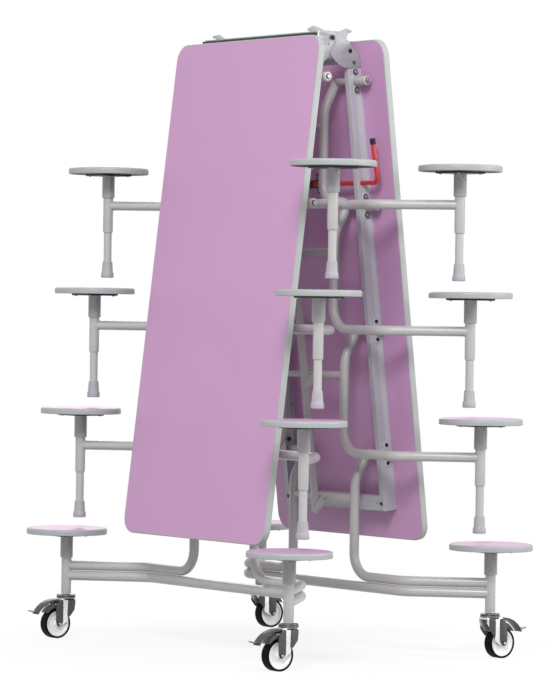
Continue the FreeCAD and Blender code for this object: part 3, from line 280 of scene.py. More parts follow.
SEAT_RIM_GREY = finish("seat_rim_grey", shade(174, 177, 177), shade(167, 171, 171), 0.40, grain_scale=1300.0,
                       bump=0.2, patch_scale=16.0, scuffs=0.14, scuff_colour=shade(150, 152, 152), dust=0.1)
SEAT_UNDERSIDE = finish("seat_dark_underside", shade(52, 50, 54), shade(46, 45, 48), 0.6, grain_scale=800.0, bump=0.25,
                   patch_scale=20.0)
MOUNT_PAINT = finish("mount_powder_coat", shade(178, 177, 180), shade(168, 167, 170), 0.42, grain_scale=620.0,
                     bump=0.2, bump_depth=0.0004, dust=0.1)
DARK_PAINT = finish("dark_powder_coat", shade(62, 61, 64), shade(54, 53, 56), 0.46, grain_scale=620.0, bump=0.2,
                    bump_depth=0.0004, dust=0.1)
FOOT_PLASTIC = finish("foot_plastic", shade(176, 175, 179), shade(165, 164, 168), 0.5, grain_scale=1100.0,
                      bump=0.25, scuffs=0.3, scuff_colour=shade(128, 126, 126))
RED = finish("red_powder_coat", shade(196, 44, 42), shade(184, 38, 38), 0.32, grain_scale=620.0, bump=0.14,
             bump_depth=0.0004, coat=0.35, scuffs=0.12, scuff_colour=shade(120, 30, 30))
RUBBER = finish("black_rubber", shade(34, 34, 35), shade(44, 44, 45), 0.55, grain_scale=1500.0, bump=0.3,
                patch_scale=30.0)
TYRE = finish("tyre_rubber", shade(14, 14, 15), shade(20, 20, 21), 0.55, grain_scale=1200.0, bump=0.12,
              patch_scale=24.0, scuffs=0.12, scuff_colour=shade(74, 72, 70), specular=0.05)
HUB = finish("hub_plastic", shade(244, 244, 244), shade(236, 236, 237), 0.38, grain_scale=1100.0, bump=0.12,
             patch_scale=30.0, dust=0.1)
DARK_PLASTIC = finish("dark_moulding", shade(70, 71, 74), shade(60, 61, 64), 0.42, grain_scale=1000.0, bump=0.25,
                      patch_scale=26.0, scuffs=0.2, scuff_colour=shade(104, 104, 106), dust=0.15)
ZINC = finish("zinc_plate", shade(242, 243, 245), shade(215, 217, 221), 0.24, metallic=0.9, grain_scale=700.0,
              bump=0.06, spangle=0.14, patch_scale=40.0, dust=0.08)
STEEL = finish("bolt_steel", shade(178, 178, 180), shade(150, 150, 154), 0.45, metallic=0.9, grain_scale=900.0,
               bump=0.08, patch_scale=60.0)
# Blackened steel; on washers round bright heads and on the floors of the plug recesses its black is also painted shade.
BLACK_STEEL_AND_PAINTED_SHADE = finish("blackened_steel_and_painted_shade", shade(40, 40, 42), shade(54, 54, 56), 0.38, metallic=0.5,
                    grain_scale=900.0, bump=0.1, patch_scale=60.0)
# Worn steel; on the swivel race its dark tone is also a painted dark reflection.
WORN_STEEL_AND_PAINTED_REFLECTION = finish("worn_steel_and_painted_reflection", shade(118, 119, 122), shade(98, 99, 103), 0.34, metallic=0.8, grain_scale=900.0,
                    bump=0.1, patch_scale=50.0, scuffs=0.2, scuff_colour=shade(150, 151, 154))
SPRING_PAINT = finish("spring_powder_coat", shade(158, 160, 163), shade(146, 148, 151), 0.4, grain_scale=620.0,
                      bump=0.2, bump_depth=0.0004, dust=0.15)
STRIP_METAL = finish("strip_aluminium", shade(168, 170, 172), shade(154, 156, 159), 0.36, metallic=0.7,
                     grain_scale=500.0, bump=0.08, patch_scale=18.0, scuffs=0.2, scuff_colour=shade(120, 121, 123))
WELD = finish("weld_bead_paint", shade(190, 189, 188), shade(180, 179, 178), 0.38, grain_scale=900.0, bump=0.25,
              bump_depth=0.0004, coat=0.15)


# =====================================================================
# Mesh helpers
# =====================================================================

def new_piece(name, mesh, body, materials, replaces=()):
    """Finished mesh as a piece that rides on a body."""
    piece = bpy.data.objects.new(name, mesh)
    bpy.context.scene.collection.objects.link(piece)
    for index, material in enumerate(materials):
        if index < len(mesh.materials):
            mesh.materials[index] = material
        else:
            mesh.materials.append(material)
    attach(piece, body)
    if replaces:
        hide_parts(*replaces)
    return piece


def smooth(mesh, angle=32.0):
    mesh.shade_smooth()
    mesh.set_sharp_from_angle(angle=math.radians(angle))


def baked(mesh, *modifiers):
    """The mesh with modifiers (type, settings) applied."""
    temporary = bpy.data.objects.new("temporary", mesh)
    bpy.context.scene.collection.objects.link(temporary)
    for kind, settings in modifiers:
        modifier = temporary.modifiers.new(kind.lower(), kind)
        for name, value in settings.items():
            setattr(modifier, name, value)
    graph = bpy.context.evaluated_depsgraph_get()
    result = bpy.data.meshes.new_from_object(temporary.evaluated_get(graph), depsgraph=graph)
    bpy.data.objects.remove(temporary)
    return result


def bevel(width, angle=35.0, segments=2):
    return ("BEVEL", {"width": width, "segments": segments, "limit_method": "ANGLE",
                      "angle_limit": math.radians(angle), "harden_normals": False,
                      "use_clamp_overlap": True})


def merged_copy(node):
    """Copy of a construction node with its triangles joined into solids."""
    mesh = frame["nodes"][node].data.copy()
    builder = bmesh.new()
    builder.from_mesh(mesh)
    bmesh.ops.remove_doubles(builder, verts=builder.verts, dist=1e-6)
    bmesh.ops.dissolve_limit(builder, angle_limit=math.radians(0.5), verts=builder.verts, edges=builder.edges)
    return builder, mesh


def islands(builder):
    """Groups of joined faces, each with its faces and the two corners of its box."""
    seen = set()
    groups = []
    for start in builder.faces:
        if start.index in seen:
            continue
        seen.add(start.index)
        members = []
        waiting = [start]
        while waiting:
            face = waiting.pop()
            members.append(face)
            for edge in face.edges:
                for other in edge.link_faces:
                    if other.index not in seen:
                        seen.add(other.index)
                        waiting.append(other)
        points = [corner.co for face in members for corner in face.verts]
        low = Vector([min(point[axis] for point in points) for axis in range(3)])
        high = Vector([max(point[axis] for point in points) for axis in range(3)])
        groups.append((members, low, high))
    return groups


def softened(node, materials, edge=0.0006, choose=None, name=None):
    """The node's own shape with broken edges and smooth curves. choose(low, high) picks a solid's
    material by index, or None to leave the solid out."""
    builder, mesh = merged_copy(node)
    builder.faces.ensure_lookup_table()
    builder.faces.index_update()
    if choose:
        dropped = []
        for members, low, high in islands(builder):
            index = choose(low, high)
            for face in members:
                if index is None:
                    dropped.append(face)
                else:
                    face.material_index = index
        bmesh.ops.delete(builder, geom=dropped, context="FACES")
    else:
        for face in builder.faces:
            face.material_index = 0
    builder.to_mesh(mesh)
    builder.free()
    while len(mesh.materials) < len(materials):
        mesh.materials.append(None)
    result = baked(mesh, bevel(edge)) if edge else mesh
    smooth(result)
    body = frame["nodes"][node].parent
    body_name = next(key for key, value in frame["bodies"].items() if value == body)
    return new_piece(name or node + "_finished", result, body_name, materials, (node,))


def lathe(builder, profile, origin, axis, across, steps=48, material=0, closed=False):
    """Turn (radius, height) points about the axis through the origin. A zone may be given as a
    third value, which is the material of the band that starts there."""
    side = axis.cross(across)
    rings = []
    for point in profile:
        radius, height = point[0], point[1]
        if radius < 1e-7:
            rings.append([builder.verts.new(origin + axis * height)])
            continue
        loop = []
        for step in range(steps):
            angle = 2 * math.pi * step / steps
            loop.append(builder.verts.new(origin + axis * height + across * (radius * math.cos(angle))
                                          + side * (radius * math.sin(angle))))
        rings.append(loop)
    pairs = list(zip(rings, rings[1:]))
    if closed:
        pairs.append((rings[-1], rings[0]))
    for index, (first, second) in enumerate(pairs):
        zone = profile[index][2] if len(profile[index]) > 2 else material
        for step in range(steps):
            after = (step + 1) % steps
            corners = [first[step % len(first)], first[after % len(first)], second[after % len(second)],
                       second[step % len(second)]]
            unique = list(dict.fromkeys(corners))
            if len(unique) > 2:
                builder.faces.new(unique).material_index = zone


def arc_points(centre, radius, start, end, steps=5):
    """Points of an arc in a profile, angles in degrees."""
    points = []
    for step in range(steps + 1):
        angle = math.radians(start + (end - start) * step / steps)
        points.append((centre[0] + radius * math.cos(angle), centre[1] + radius * math.sin(angle)))
    return points


def rounded_outline(points, radius, steps=4):
    """Closed outline with each corner rounded."""
    result = []
    count = len(points)
    for index, point in enumerate(points):
        corner = Vector(point)
        back = Vector(points[index - 1]) - corner
        ahead = Vector(points[(index + 1) % count]) - corner
        reach = min(radius, back.length * 0.45, ahead.length * 0.45)
        start = corner + back.normalized() * reach
        end = corner + ahead.normalized() * reach
        for step in range(steps + 1):
            share = step / steps
            result.append(start * (1 - share) ** 2 + corner * (2 * share * (1 - share)) + end * share ** 2)
    return result


def plate(builder, outline, place, low, high, material=0):
    """Flat plate of the outline between two heights. place(u, v, height) gives a point."""
    lower = [builder.verts.new(place(u, v, low)) for u, v in outline]
    upper = [builder.verts.new(place(u, v, high)) for u, v in outline]
    builder.faces.new(lower).material_index = material
    builder.faces.new(upper).material_index = material
    count = len(outline)
    for index in range(count):
        after = (index + 1) % count
        builder.faces.new((lower[index], lower[after], upper[after], upper[index])).material_index = material


def closed_mesh(builder, name, join_distance=1e-6):
    """Mesh from a builder, doubles merged and faces turned outwards."""
    bmesh.ops.remove_doubles(builder, verts=builder.verts, dist=join_distance)
    bmesh.ops.recalc_face_normals(builder, faces=builder.faces)
    mesh = bpy.data.meshes.new(name)
    builder.to_mesh(mesh)
    builder.free()
    return mesh


# =====================================================================
# Geometry node trees
# =====================================================================

def geometry_tree(name, inputs):
    """Geometry group with a mesh or curve in, a mesh out, and named float or material inputs."""
    tree = bpy.data.node_groups.new(name, "GeometryNodeTree")
    tree.interface.new_socket("Geometry", in_out="INPUT", socket_type="NodeSocketGeometry")
    for label, kind in inputs:
        tree.interface.new_socket(label, in_out="INPUT", socket_type=kind)
    tree.interface.new_socket("Geometry", in_out="OUTPUT", socket_type="NodeSocketGeometry")
    return tree, tree.nodes.new("NodeGroupInput").outputs, tree.nodes.new("NodeGroupOutput").inputs


def bead_tree():
    """Overlapping ripples of weld metal along a curve."""
    tree, given, result = geometry_tree("weld_bead", [("Ripple", "NodeSocketFloat"), ("Height", "NodeSocketFloat"),
                                                      ("Material", "NodeSocketMaterial")])
    spaced = add(tree, "GeometryNodeResampleCurve", {"Curve": given["Geometry"], "Length": given["Ripple"]},
                 mode="LENGTH")
    drop = add(tree, "GeometryNodeMeshUVSphere", {"Segments": 8, "Rings": 5, "Radius": given["Height"]})
    turn = add(tree, "FunctionNodeAlignRotationToVector",
               {"Vector": add(tree, "GeometryNodeInputTangent").outputs[0]}, axis="Z")
    size = add(tree, "FunctionNodeRandomValue", data_type="FLOAT")
    for socket in size.inputs:
        if socket.identifier == "Min_001":
            socket.default_value = 0.88
        elif socket.identifier == "Max_001":
            socket.default_value = 1.12
        elif socket.identifier == "Seed":
            socket.default_value = 7
    value = next(socket for socket in size.outputs if socket.identifier == "Value_001")
    drops = add(tree, "GeometryNodeInstanceOnPoints",
                {"Points": spaced.outputs["Curve"], "Instance": drop.outputs["Mesh"],
                 "Rotation": turn.outputs["Rotation"], "Scale": value})
    solid = add(tree, "GeometryNodeRealizeInstances", {"Geometry": drops.outputs["Instances"]})
    painted = add(tree, "GeometryNodeSetMaterial", {"Geometry": solid.outputs["Geometry"],
                                                    "Material": given["Material"]})
    tree.links.new(painted.outputs["Geometry"], result["Geometry"])
    return tree


def placed_tree():
    """A screw head on every point, turned about its own axis by chance, along the stored direction."""
    tree, given, result = geometry_tree("placed_heads", [("Head", "NodeSocketObject"), ("Seed", "NodeSocketInt"),
                                                         ("Material", "NodeSocketMaterial")])
    head = add(tree, "GeometryNodeObjectInfo", {"Object": given["Head"]})
    direction = add(tree, "GeometryNodeInputNamedAttribute", {"Name": "facing"}, data_type="FLOAT_VECTOR")
    aligned = add(tree, "FunctionNodeAlignRotationToVector", {"Vector": direction.outputs["Attribute"]}, axis="Z")
    spin = add(tree, "FunctionNodeRandomValue", data_type="FLOAT")
    for socket in spin.inputs:
        if socket.identifier == "Max_001":
            socket.default_value = 2 * math.pi
        elif socket.identifier == "Seed":
            tree.links.new(given["Seed"], socket)
    angle = next(socket for socket in spin.outputs if socket.identifier == "Value_001")
    own_turn = add(tree, "FunctionNodeAxisAngleToRotation", {"Axis": (0.0, 0.0, 1.0), "Angle": angle})
    turned = add(tree, "FunctionNodeRotateRotation", {"Rotation": aligned.outputs["Rotation"],
                                                      "Rotate By": own_turn.outputs["Rotation"]},
                 rotation_space="LOCAL")
    heads = add(tree, "GeometryNodeInstanceOnPoints",
                {"Points": given["Geometry"], "Instance": head.outputs["Geometry"],
                 "Rotation": turned.outputs["Rotation"]})
    solid = add(tree, "GeometryNodeRealizeInstances", {"Geometry": heads.outputs["Instances"]})
    painted = add(tree, "GeometryNodeSetMaterial", {"Geometry": solid.outputs["Geometry"],
                                                    "Material": given["Material"]})
    tree.links.new(painted.outputs["Geometry"], result["Geometry"])
    return tree


def run_tree(source, tree, values):
    """Mesh that the geometry tree makes of the source object, which is then removed."""
    bpy.context.scene.collection.objects.link(source)
    modifier = source.modifiers.new("tree", "NODES")
    modifier.node_group = tree
    for item in tree.interface.items_tree:
        if item.item_type == "SOCKET" and item.in_out == "INPUT" and item.name in values:
            modifier[item.identifier] = values[item.name]
    graph = bpy.context.evaluated_depsgraph_get()
    mesh = bpy.data.meshes.new_from_object(source.evaluated_get(graph), depsgraph=graph)
    source.modifiers.remove(modifier)
    bpy.data.objects.remove(source)
    return mesh


BEAD_TREE = bead_tree()
HEAD_TREE = placed_tree()


def closed_curves(name, loops):
    """Curve object of closed loops of points."""
    curve = bpy.data.curves.new(name, "CURVE")
    curve.dimensions = "3D"
    for loop in loops:
        spline = curve.splines.new("POLY")
        spline.points.add(len(loop) - 1)
        for target, point in zip(spline.points, loop):
            target.co = (*point, 1.0)
        spline.use_cyclic_u = True
    return bpy.data.objects.new(name, curve)


def points_with_directions(name, places):
    """Mesh of single points, each with the direction it faces."""
    mesh = bpy.data.meshes.new(name)
    mesh.from_pydata([place for place, _ in places], [], [])
    stored = mesh.attributes.new("facing", "FLOAT_VECTOR", "POINT")
    for item, (_, direction) in zip(stored.data, places):
        item.vector = direction
    return bpy.data.objects.new(name, mesh)


# =====================================================================
# Rows and base frames
# =====================================================================

def row_names(half):
    return [(half + "_row_" + str(number), half + "_row_" + str(number) + "_pivot") for number in (1, 2, 3)] + [
        (half + "_base", "right_base_pivot" if half == "right" else "fold")]


def weld_loops(pivot, out, is_base):
    """Loops where the tubes of a frame are welded. out is the half's side along X."""
    upright_x = pivot.x - out * UPRIGHT_SET
    arm_z = pivot.z - ARM_DROP
    stretcher_z = pivot.z - STRETCHER_DROP
    post_x = upright_x + out * SIDE_STEP
    turns = [2 * math.pi * step / 36 for step in range(36)]
    loops = []
    for side in (-1, 1):
        top = Vector((pivot.x, side * UPRIGHT_Y, pivot.z))
        ahead = Vector((upright_x - pivot.x, 0, -LEAN_DROP)).normalized()
        plane = (ahead - Vector((0, side, 0))).normalized()
        first = ahead.orthogonal().normalized()
        second = ahead.cross(first)
        loop = []
        for turn in turns:
            offset = (first * math.cos(turn) + second * math.sin(turn)) * ARM_RADIUS
            loop.append(top + offset - ahead * (offset.dot(plane) / ahead.dot(plane)))
        loops.append(loop)
        loop = []
        for turn in turns:
            across = STRETCHER_RADIUS * math.cos(turn)
            depth = math.sqrt(ARM_RADIUS ** 2 - across ** 2)
            loop.append(Vector((upright_x + across, side * (UPRIGHT_Y - depth),
                                stretcher_z + STRETCHER_RADIUS * math.sin(turn))))
        loops.append(loop)
        back = Vector((-out, -side, 0)).normalized()
        lateral = Vector((0, 0, 1)).cross(back)
        tubes = [(arm_z, ARM_RADIUS)]
        if is_base:
            tubes.append((arm_z - LOWER_TUBE_DROP, POST_RADIUS - 1e-5))
        for height, radius in tubes:
            loop = []
            for turn in turns:
                across = radius * math.cos(turn)
                depth = math.sqrt(POST_RADIUS ** 2 - across ** 2)
                loop.append(Vector((post_x, side * POST_Y, height + radius * math.sin(turn)))
                            + back * depth + lateral * across)
            loops.append(loop)
    return loops


def row_welds(body, pivot, out):
    source = closed_curves(body + "_weld_lines", weld_loops(pivot, out, body.endswith("base")))
    mesh = run_tree(source, BEAD_TREE, {"Ripple": 0.0021, "Height": 0.0019, "Material": WELD})
    smooth(mesh, 60)
    new_piece(body + "_welds", mesh, body, [WELD])


def seat_centres(node):
    low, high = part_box(node)
    middle = (low.x + high.x) / 2
    return [Vector((middle, low.y + SEAT_RADIUS, low.z)), Vector((middle, high.y - SEAT_RADIUS, low.z))], high.z - low.z


def stool_seats(body):
    """Pink face, moulded grey rim and dark underside of a row's two stools."""
    node = body + "_seats"
    centres, thickness = seat_centres(node)
    rim = SEAT_RADIUS - SEAT_RIM
    soft = 0.0075
    lower = 0.0025
    back = SEAT_RADIUS - 0.0030
    groove = 0.0004
    # The flat underside inside the rim is dark grey.
    profile = [(0.0, 0.0001, 2), (back, 0.0001, 2), (back + 0.0003, 0.0, 0)]
    profile += [(*point, 0) for point in arc_points((SEAT_RADIUS - lower, lower), lower, -90, 0, 5)]
    profile += [(*point, 0) for point in arc_points((SEAT_RADIUS - soft, thickness - soft), soft, 0, 84, 8)]
    profile += [(rim + groove, thickness - 0.0003, 0), (rim + 0.0002, thickness - 0.0012, 0),
                (rim - 0.0002, thickness - 0.0012, 1), (rim - groove, thickness - 0.0002, 1),
                (rim - 0.003, thickness, 1), (rim * 0.6, thickness - 0.0001, 1), (0.0, thickness - 0.0001, 1)]
    builder = bmesh.new()
    for centre in centres:
        lathe(builder, profile, centre, Vector((0, 0, 1)), Vector((1, 0, 0)), steps=96)
    mesh = closed_mesh(builder, node)
    smooth(mesh, 40)
    new_piece(node + "_finished", mesh, body, [SEAT_RIM_GREY, PINK, SEAT_UNDERSIDE], (node,))


def stool_legs(body):
    """Height-setting tubes and their flared feet."""
    node = body + "_legs"
    low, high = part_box(node)
    base = 0.0215
    middle = (low.x + high.x) / 2
    tube = [(0.01145, 0.026), (0.01345, 0.026), (0.01345, high.z - low.z - 0.0006),
            (0.0129, high.z - low.z), (0.01145, high.z - low.z)]
    foot = [(0.0, 0.0015), (base - 0.0055, 0.0015), (base - 0.004, 0.0)]
    foot += arc_points((base - 0.003, 0.003), 0.003, -90, 0, 4)
    foot += [(base - 0.0004, 0.0165), (base - 0.0012, 0.0185), (0.0192, 0.0198), (0.0188, 0.0215),
             (0.0170, 0.0500), (0.0167, 0.0520)]
    foot += arc_points((0.0149, 0.0542), 0.0018, 0, 90, 4)
    foot += [(0.0136, 0.056), (0.01355, 0.0545), (0.01355, 0.0262), (0.0, 0.0262)]
    builder = bmesh.new()
    for y in (low.y + base, high.y - base):
        origin = Vector((middle, y, low.z))
        lathe(builder, tube, origin, Vector((0, 0, 1)), Vector((1, 0, 0)), 40, 0, closed=True)
        lathe(builder, foot, origin, Vector((0, 0, 1)), Vector((1, 0, 0)), 40, 1)
    mesh = closed_mesh(builder, node)
    smooth(mesh, 35)
    new_piece(node + "_finished", mesh, body, [PAINT, FOOT_PLASTIC], (node,))


def seat_screw_heads(body):
    """Cross-recessed heads under the seats, over the plain ones of the mounts."""
    builder, mesh = merged_copy(body + "_seat_mounts")
    builder.faces.index_update()
    places = []
    for _, low, high in islands(builder):
        size = high - low
        if size.z < 0.03 and size.x < 0.012 and size.z > 0.015:
            places.append((Vector(((low.x + high.x) / 2, (low.y + high.y) / 2, low.z + HEAD_HEIGHT)),
                           Vector((0, 0, -1))))
    builder.free()
    bpy.data.meshes.remove(mesh)
    source = points_with_directions(body + "_screw_points", places)
    heads = run_tree(source, HEAD_TREE, {"Head": PAN_HEAD, "Seed": 3, "Material": STEEL})
    smooth(heads, 40)
    new_piece(body + "_seat_screws", heads, body, [STEEL])


def mount_material(low, high):
    """Paint for the plates and sleeves, bare steel for the clamp screws; seat screws are made apart."""
    size = high - low
    if size.x > 0.03:
        return 0
    return 1 if size.z < 0.012 else None


HEAD_HEIGHT = 0.0026


def pan_head():
    """Pan head with a cross recess, its seat at the origin and its top along +Z."""
    radius = 0.005
    flat = 0.0034
    arm = 0.0028
    half = 0.0006
    depth = 0.0012
    builder = bmesh.new()
    profile = [(0.0, 0.0), (radius, 0.0)]
    profile += arc_points((radius - 0.0012, HEAD_HEIGHT - 0.0014), 0.0012, 0, 70, 3)
    profile.append((flat, HEAD_HEIGHT))
    lathe(builder, profile, Vector((0, 0, 0)), Vector((0, 0, 1)), Vector((1, 0, 0)), 20)
    outline = []
    for quarter in range(4):
        turn = Matrix.Rotation(quarter * math.pi / 2, 2)
        outline += [turn @ Vector(corner) for corner in ((arm, -half), (arm, half), (half, half))]
    upper = [builder.verts.new((u, v, HEAD_HEIGHT)) for u, v in outline]
    lower = [builder.verts.new((u, v, HEAD_HEIGHT - depth)) for u, v in outline]
    builder.faces.new(lower)
    for index in range(len(outline)):
        after = (index + 1) % len(outline)
        builder.faces.new((lower[index], lower[after], upper[after], upper[index]))
    open_edges = [edge for edge in builder.edges if edge.is_boundary]
    bmesh.ops.triangle_fill(builder, edges=open_edges, use_beauty=True, normal=(0, 0, 1))
    return bpy.data.objects.new("pan_head", closed_mesh(builder, "pan_head"))


PAN_HEAD = pan_head()


def is_end_bolt(low, high):
    return max(high - low) < 0.03


def collar_ends(body):
    """Pale end plug of each pivot tube, with a hex bolt in its middle, on the rows that have collars."""
    source, mesh = merged_copy(body + "_frame")
    source.faces.index_update()
    builder = bmesh.new()
    for _, low, high in islands(source):
        if not is_end_bolt(low, high):
            continue
        side = 1 if low.y > 0 else -1
        face = low.y + PLUG_LENGTH if side > 0 else high.y - PLUG_LENGTH
        origin = Vector(((low.x + high.x) / 2, face, (low.z + high.z) / 2))
        axis = Vector((0, side, 0))
        # The floor of the plug's shallow recess round the hex head is black: painted shade.
        plug = [(0.0, 0.0), (0.0134, 0.0), (0.0134, 0.0012), (0.0126, 0.0020), (0.0092, 0.0020, 2),
                (0.0088, 0.0015, 2), (0.0, 0.0015)]
        head = [(0.0, 0.0013), (0.0072, 0.0013), (0.0075, 0.0020), (0.0075, 0.0060), (0.0064, 0.0072),
                (0.0, 0.0073)]
        lathe(builder, plug, origin, axis, Vector((1, 0, 0)), 40, 0)
        lathe(builder, head, origin, axis, Vector((1, 0, 0)), 6, 1)
    source.free()
    bpy.data.meshes.remove(mesh)
    if not builder.faces:
        builder.free()
        return
    ends = closed_mesh(builder, body + "_collar_ends")
    smooth(ends, 30)
    new_piece(body + "_collar_ends", ends, body, [PAINT, STEEL, BLACK_STEEL_AND_PAINTED_SHADE])


def seat_mounts(body):
    """Painted sleeves, the dark plates above them and bare clamp screws."""
    piece = softened(body + "_seat_mounts", [MOUNT_PAINT, STEEL, DARK_PAINT], choose=mount_material)
    plate_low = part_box(body + "_seats")[0].z - MOUNT_PLATE
    for face in piece.data.polygons:
        if face.material_index == 0 and face.center.z > plate_low - 0.0002:
            face.material_index = 2


def build_row(body, pivot, out):
    softened(body + "_frame", [PAINT], edge=0.0004,
             choose=lambda low, high: None if is_end_bolt(low, high) else 0)
    collar_ends(body)
    row_welds(body, pivot, out)
    stool_seats(body)
    seat_mounts(body)
    seat_screw_heads(body)
    if not body.endswith("base"):
        stool_legs(body)


# =====================================================================
# Tops, rails, hinge and lever
# =====================================================================

def fastener_material(low, high):
    """Bright bolts in the bearings of the two upper rows, a grey one in the hinge plate, black ones
    elsewhere; panel screws apart."""
    size = high - low
    middle = (low + high) / 2
    if size.y < 0.0125 and size.x > size.y:
        return None
    if 1.93 < middle.z < 1.96:
        return 2
    return 0 if 1.36 < middle.z < 1.93 else 1


def bearing_washers(half, out):
    """Black washers under the bright bolts of the two upper rows; their black is partly painted shade round the bolt
    heads.
    """
    slope = Vector((out * math.sin(FOLD_TILT), 0, -math.cos(FOLD_TILT)))
    builder = bmesh.new()
    for row in ("1", "2"):
        pivot = JOINT[half + "_row_" + row + "_pivot"]
        for side in (-1, 1):
            for shift in (-BOLT_SPREAD, BOLT_SPREAD):
                place = Vector((pivot.x, side * BEARING_FACE, pivot.z)) + slope * shift
                ring = [(0.0042, 0.0), (0.0100, 0.0), (0.0103, 0.0003), (0.0103, 0.0007), (0.0042, 0.0008)]
                lathe(builder, ring, place, Vector((0, side, 0)), Vector((1, 0, 0)), 36, 0, closed=True)
    mesh = closed_mesh(builder, half + "_bearing_washers")
    smooth(mesh, 30)
    new_piece(half + "_bearing_washers", mesh, half + "_top", [BLACK_STEEL_AND_PAINTED_SHADE])


def panel_screws(half, out):
    """Cross-recessed heads along the rails."""
    builder, mesh = merged_copy(half + "_fasteners")
    builder.faces.index_update()
    tilt = FOLD_TILT
    inward = Vector((-out * math.cos(tilt), 0, -math.sin(tilt)))
    places = []
    for _, low, high in islands(builder):
        if fastener_material(low, high) is None:
            middle = (low + high) / 2
            length = (high.x - low.x - 0.010 * math.sin(tilt)) / math.cos(tilt)
            places.append((middle + inward * (length / 2 - HEAD_HEIGHT), inward))
    builder.free()
    bpy.data.meshes.remove(mesh)
    source = points_with_directions(half + "_screw_points", places)
    heads = run_tree(source, HEAD_TREE, {"Head": PAN_HEAD, "Seed": 5, "Material": STEEL})
    smooth(heads, 40)
    new_piece(half + "_panel_screws", heads, half + "_top", [STEEL])


def lever_grip():
    """Ribbed cap on the lever's end."""
    low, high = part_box("lever_cap")
    radius = 0.0098
    length = 0.020
    axis = Vector((-math.sin(LEVER_LEAN), 0, math.cos(LEVER_LEAN)))
    start = (low + high) / 2 - axis * (length / 2)
    profile = [(0.0, 0.0), (radius - 0.0010, 0.0), (radius, 0.0006)]
    for rib in range(6):
        height = 0.0016 + rib * 0.0027
        profile += [(radius, height), (radius - 0.0011, height + 0.0006), (radius - 0.0011, height + 0.0014),
                    (radius, height + 0.0020)]
    profile += arc_points((radius - 0.0020, length - 0.0020), 0.0020, 0, 90, 4) + [(0.0, length)]
    builder = bmesh.new()
    lathe(builder, profile, start, axis, Vector((0, 1, 0)), 40)
    mesh = closed_mesh(builder, "lever_cap")
    smooth(mesh, 35)
    new_piece("lever_cap_finished", mesh, "lever", [RUBBER], ("lever_cap",))


def build_half(half, out):
    frame["nodes"][half + "_table_top"].data.materials.clear()
    frame["nodes"][half + "_table_top"].data.materials.append(PINK)
    softened(half + "_edging", [EDGING], edge=0)
    softened(half + "_rails", [RAIL_PAINT], edge=0.0008)
    softened(half + "_pivot_bearings", [RAIL_PAINT, DARK_PAINT], edge=0.0006,
             choose=lambda low, high: 1 if abs(low.y + high.y) < 0.04 else 0)
    softened(half + "_hinge_plates", [HINGE_PAINT], edge=0.0007)
    softened(half + "_fasteners", [STEEL, BLACK_STEEL_AND_PAINTED_SHADE, WORN_STEEL_AND_PAINTED_REFLECTION], edge=0.0005,
             choose=fastener_material)
    bearing_washers(half, out)
    panel_screws(half, out)
    softened(half + "_link_bar", [PAINT], edge=0.0007)
    for body, joint in row_names(half):
        pivot = JOINT[joint]
        build_row(body, pivot, out)


# =====================================================================
# Castors
# =====================================================================

def build_castor(name, out):
    """Detailed castor. Local sizes: along the trail, across, and up."""
    centre = JOINT[name + "_turn"]

    def at(along, across, up):
        return Vector((centre.x + out * along, centre.y + across, up))

    def in_side_plane(along, up, across):
        return at(along, across, up)

    swivel_fork(name, at, in_side_plane)
    wheel(name, at)
    pedal(name, at, in_side_plane)


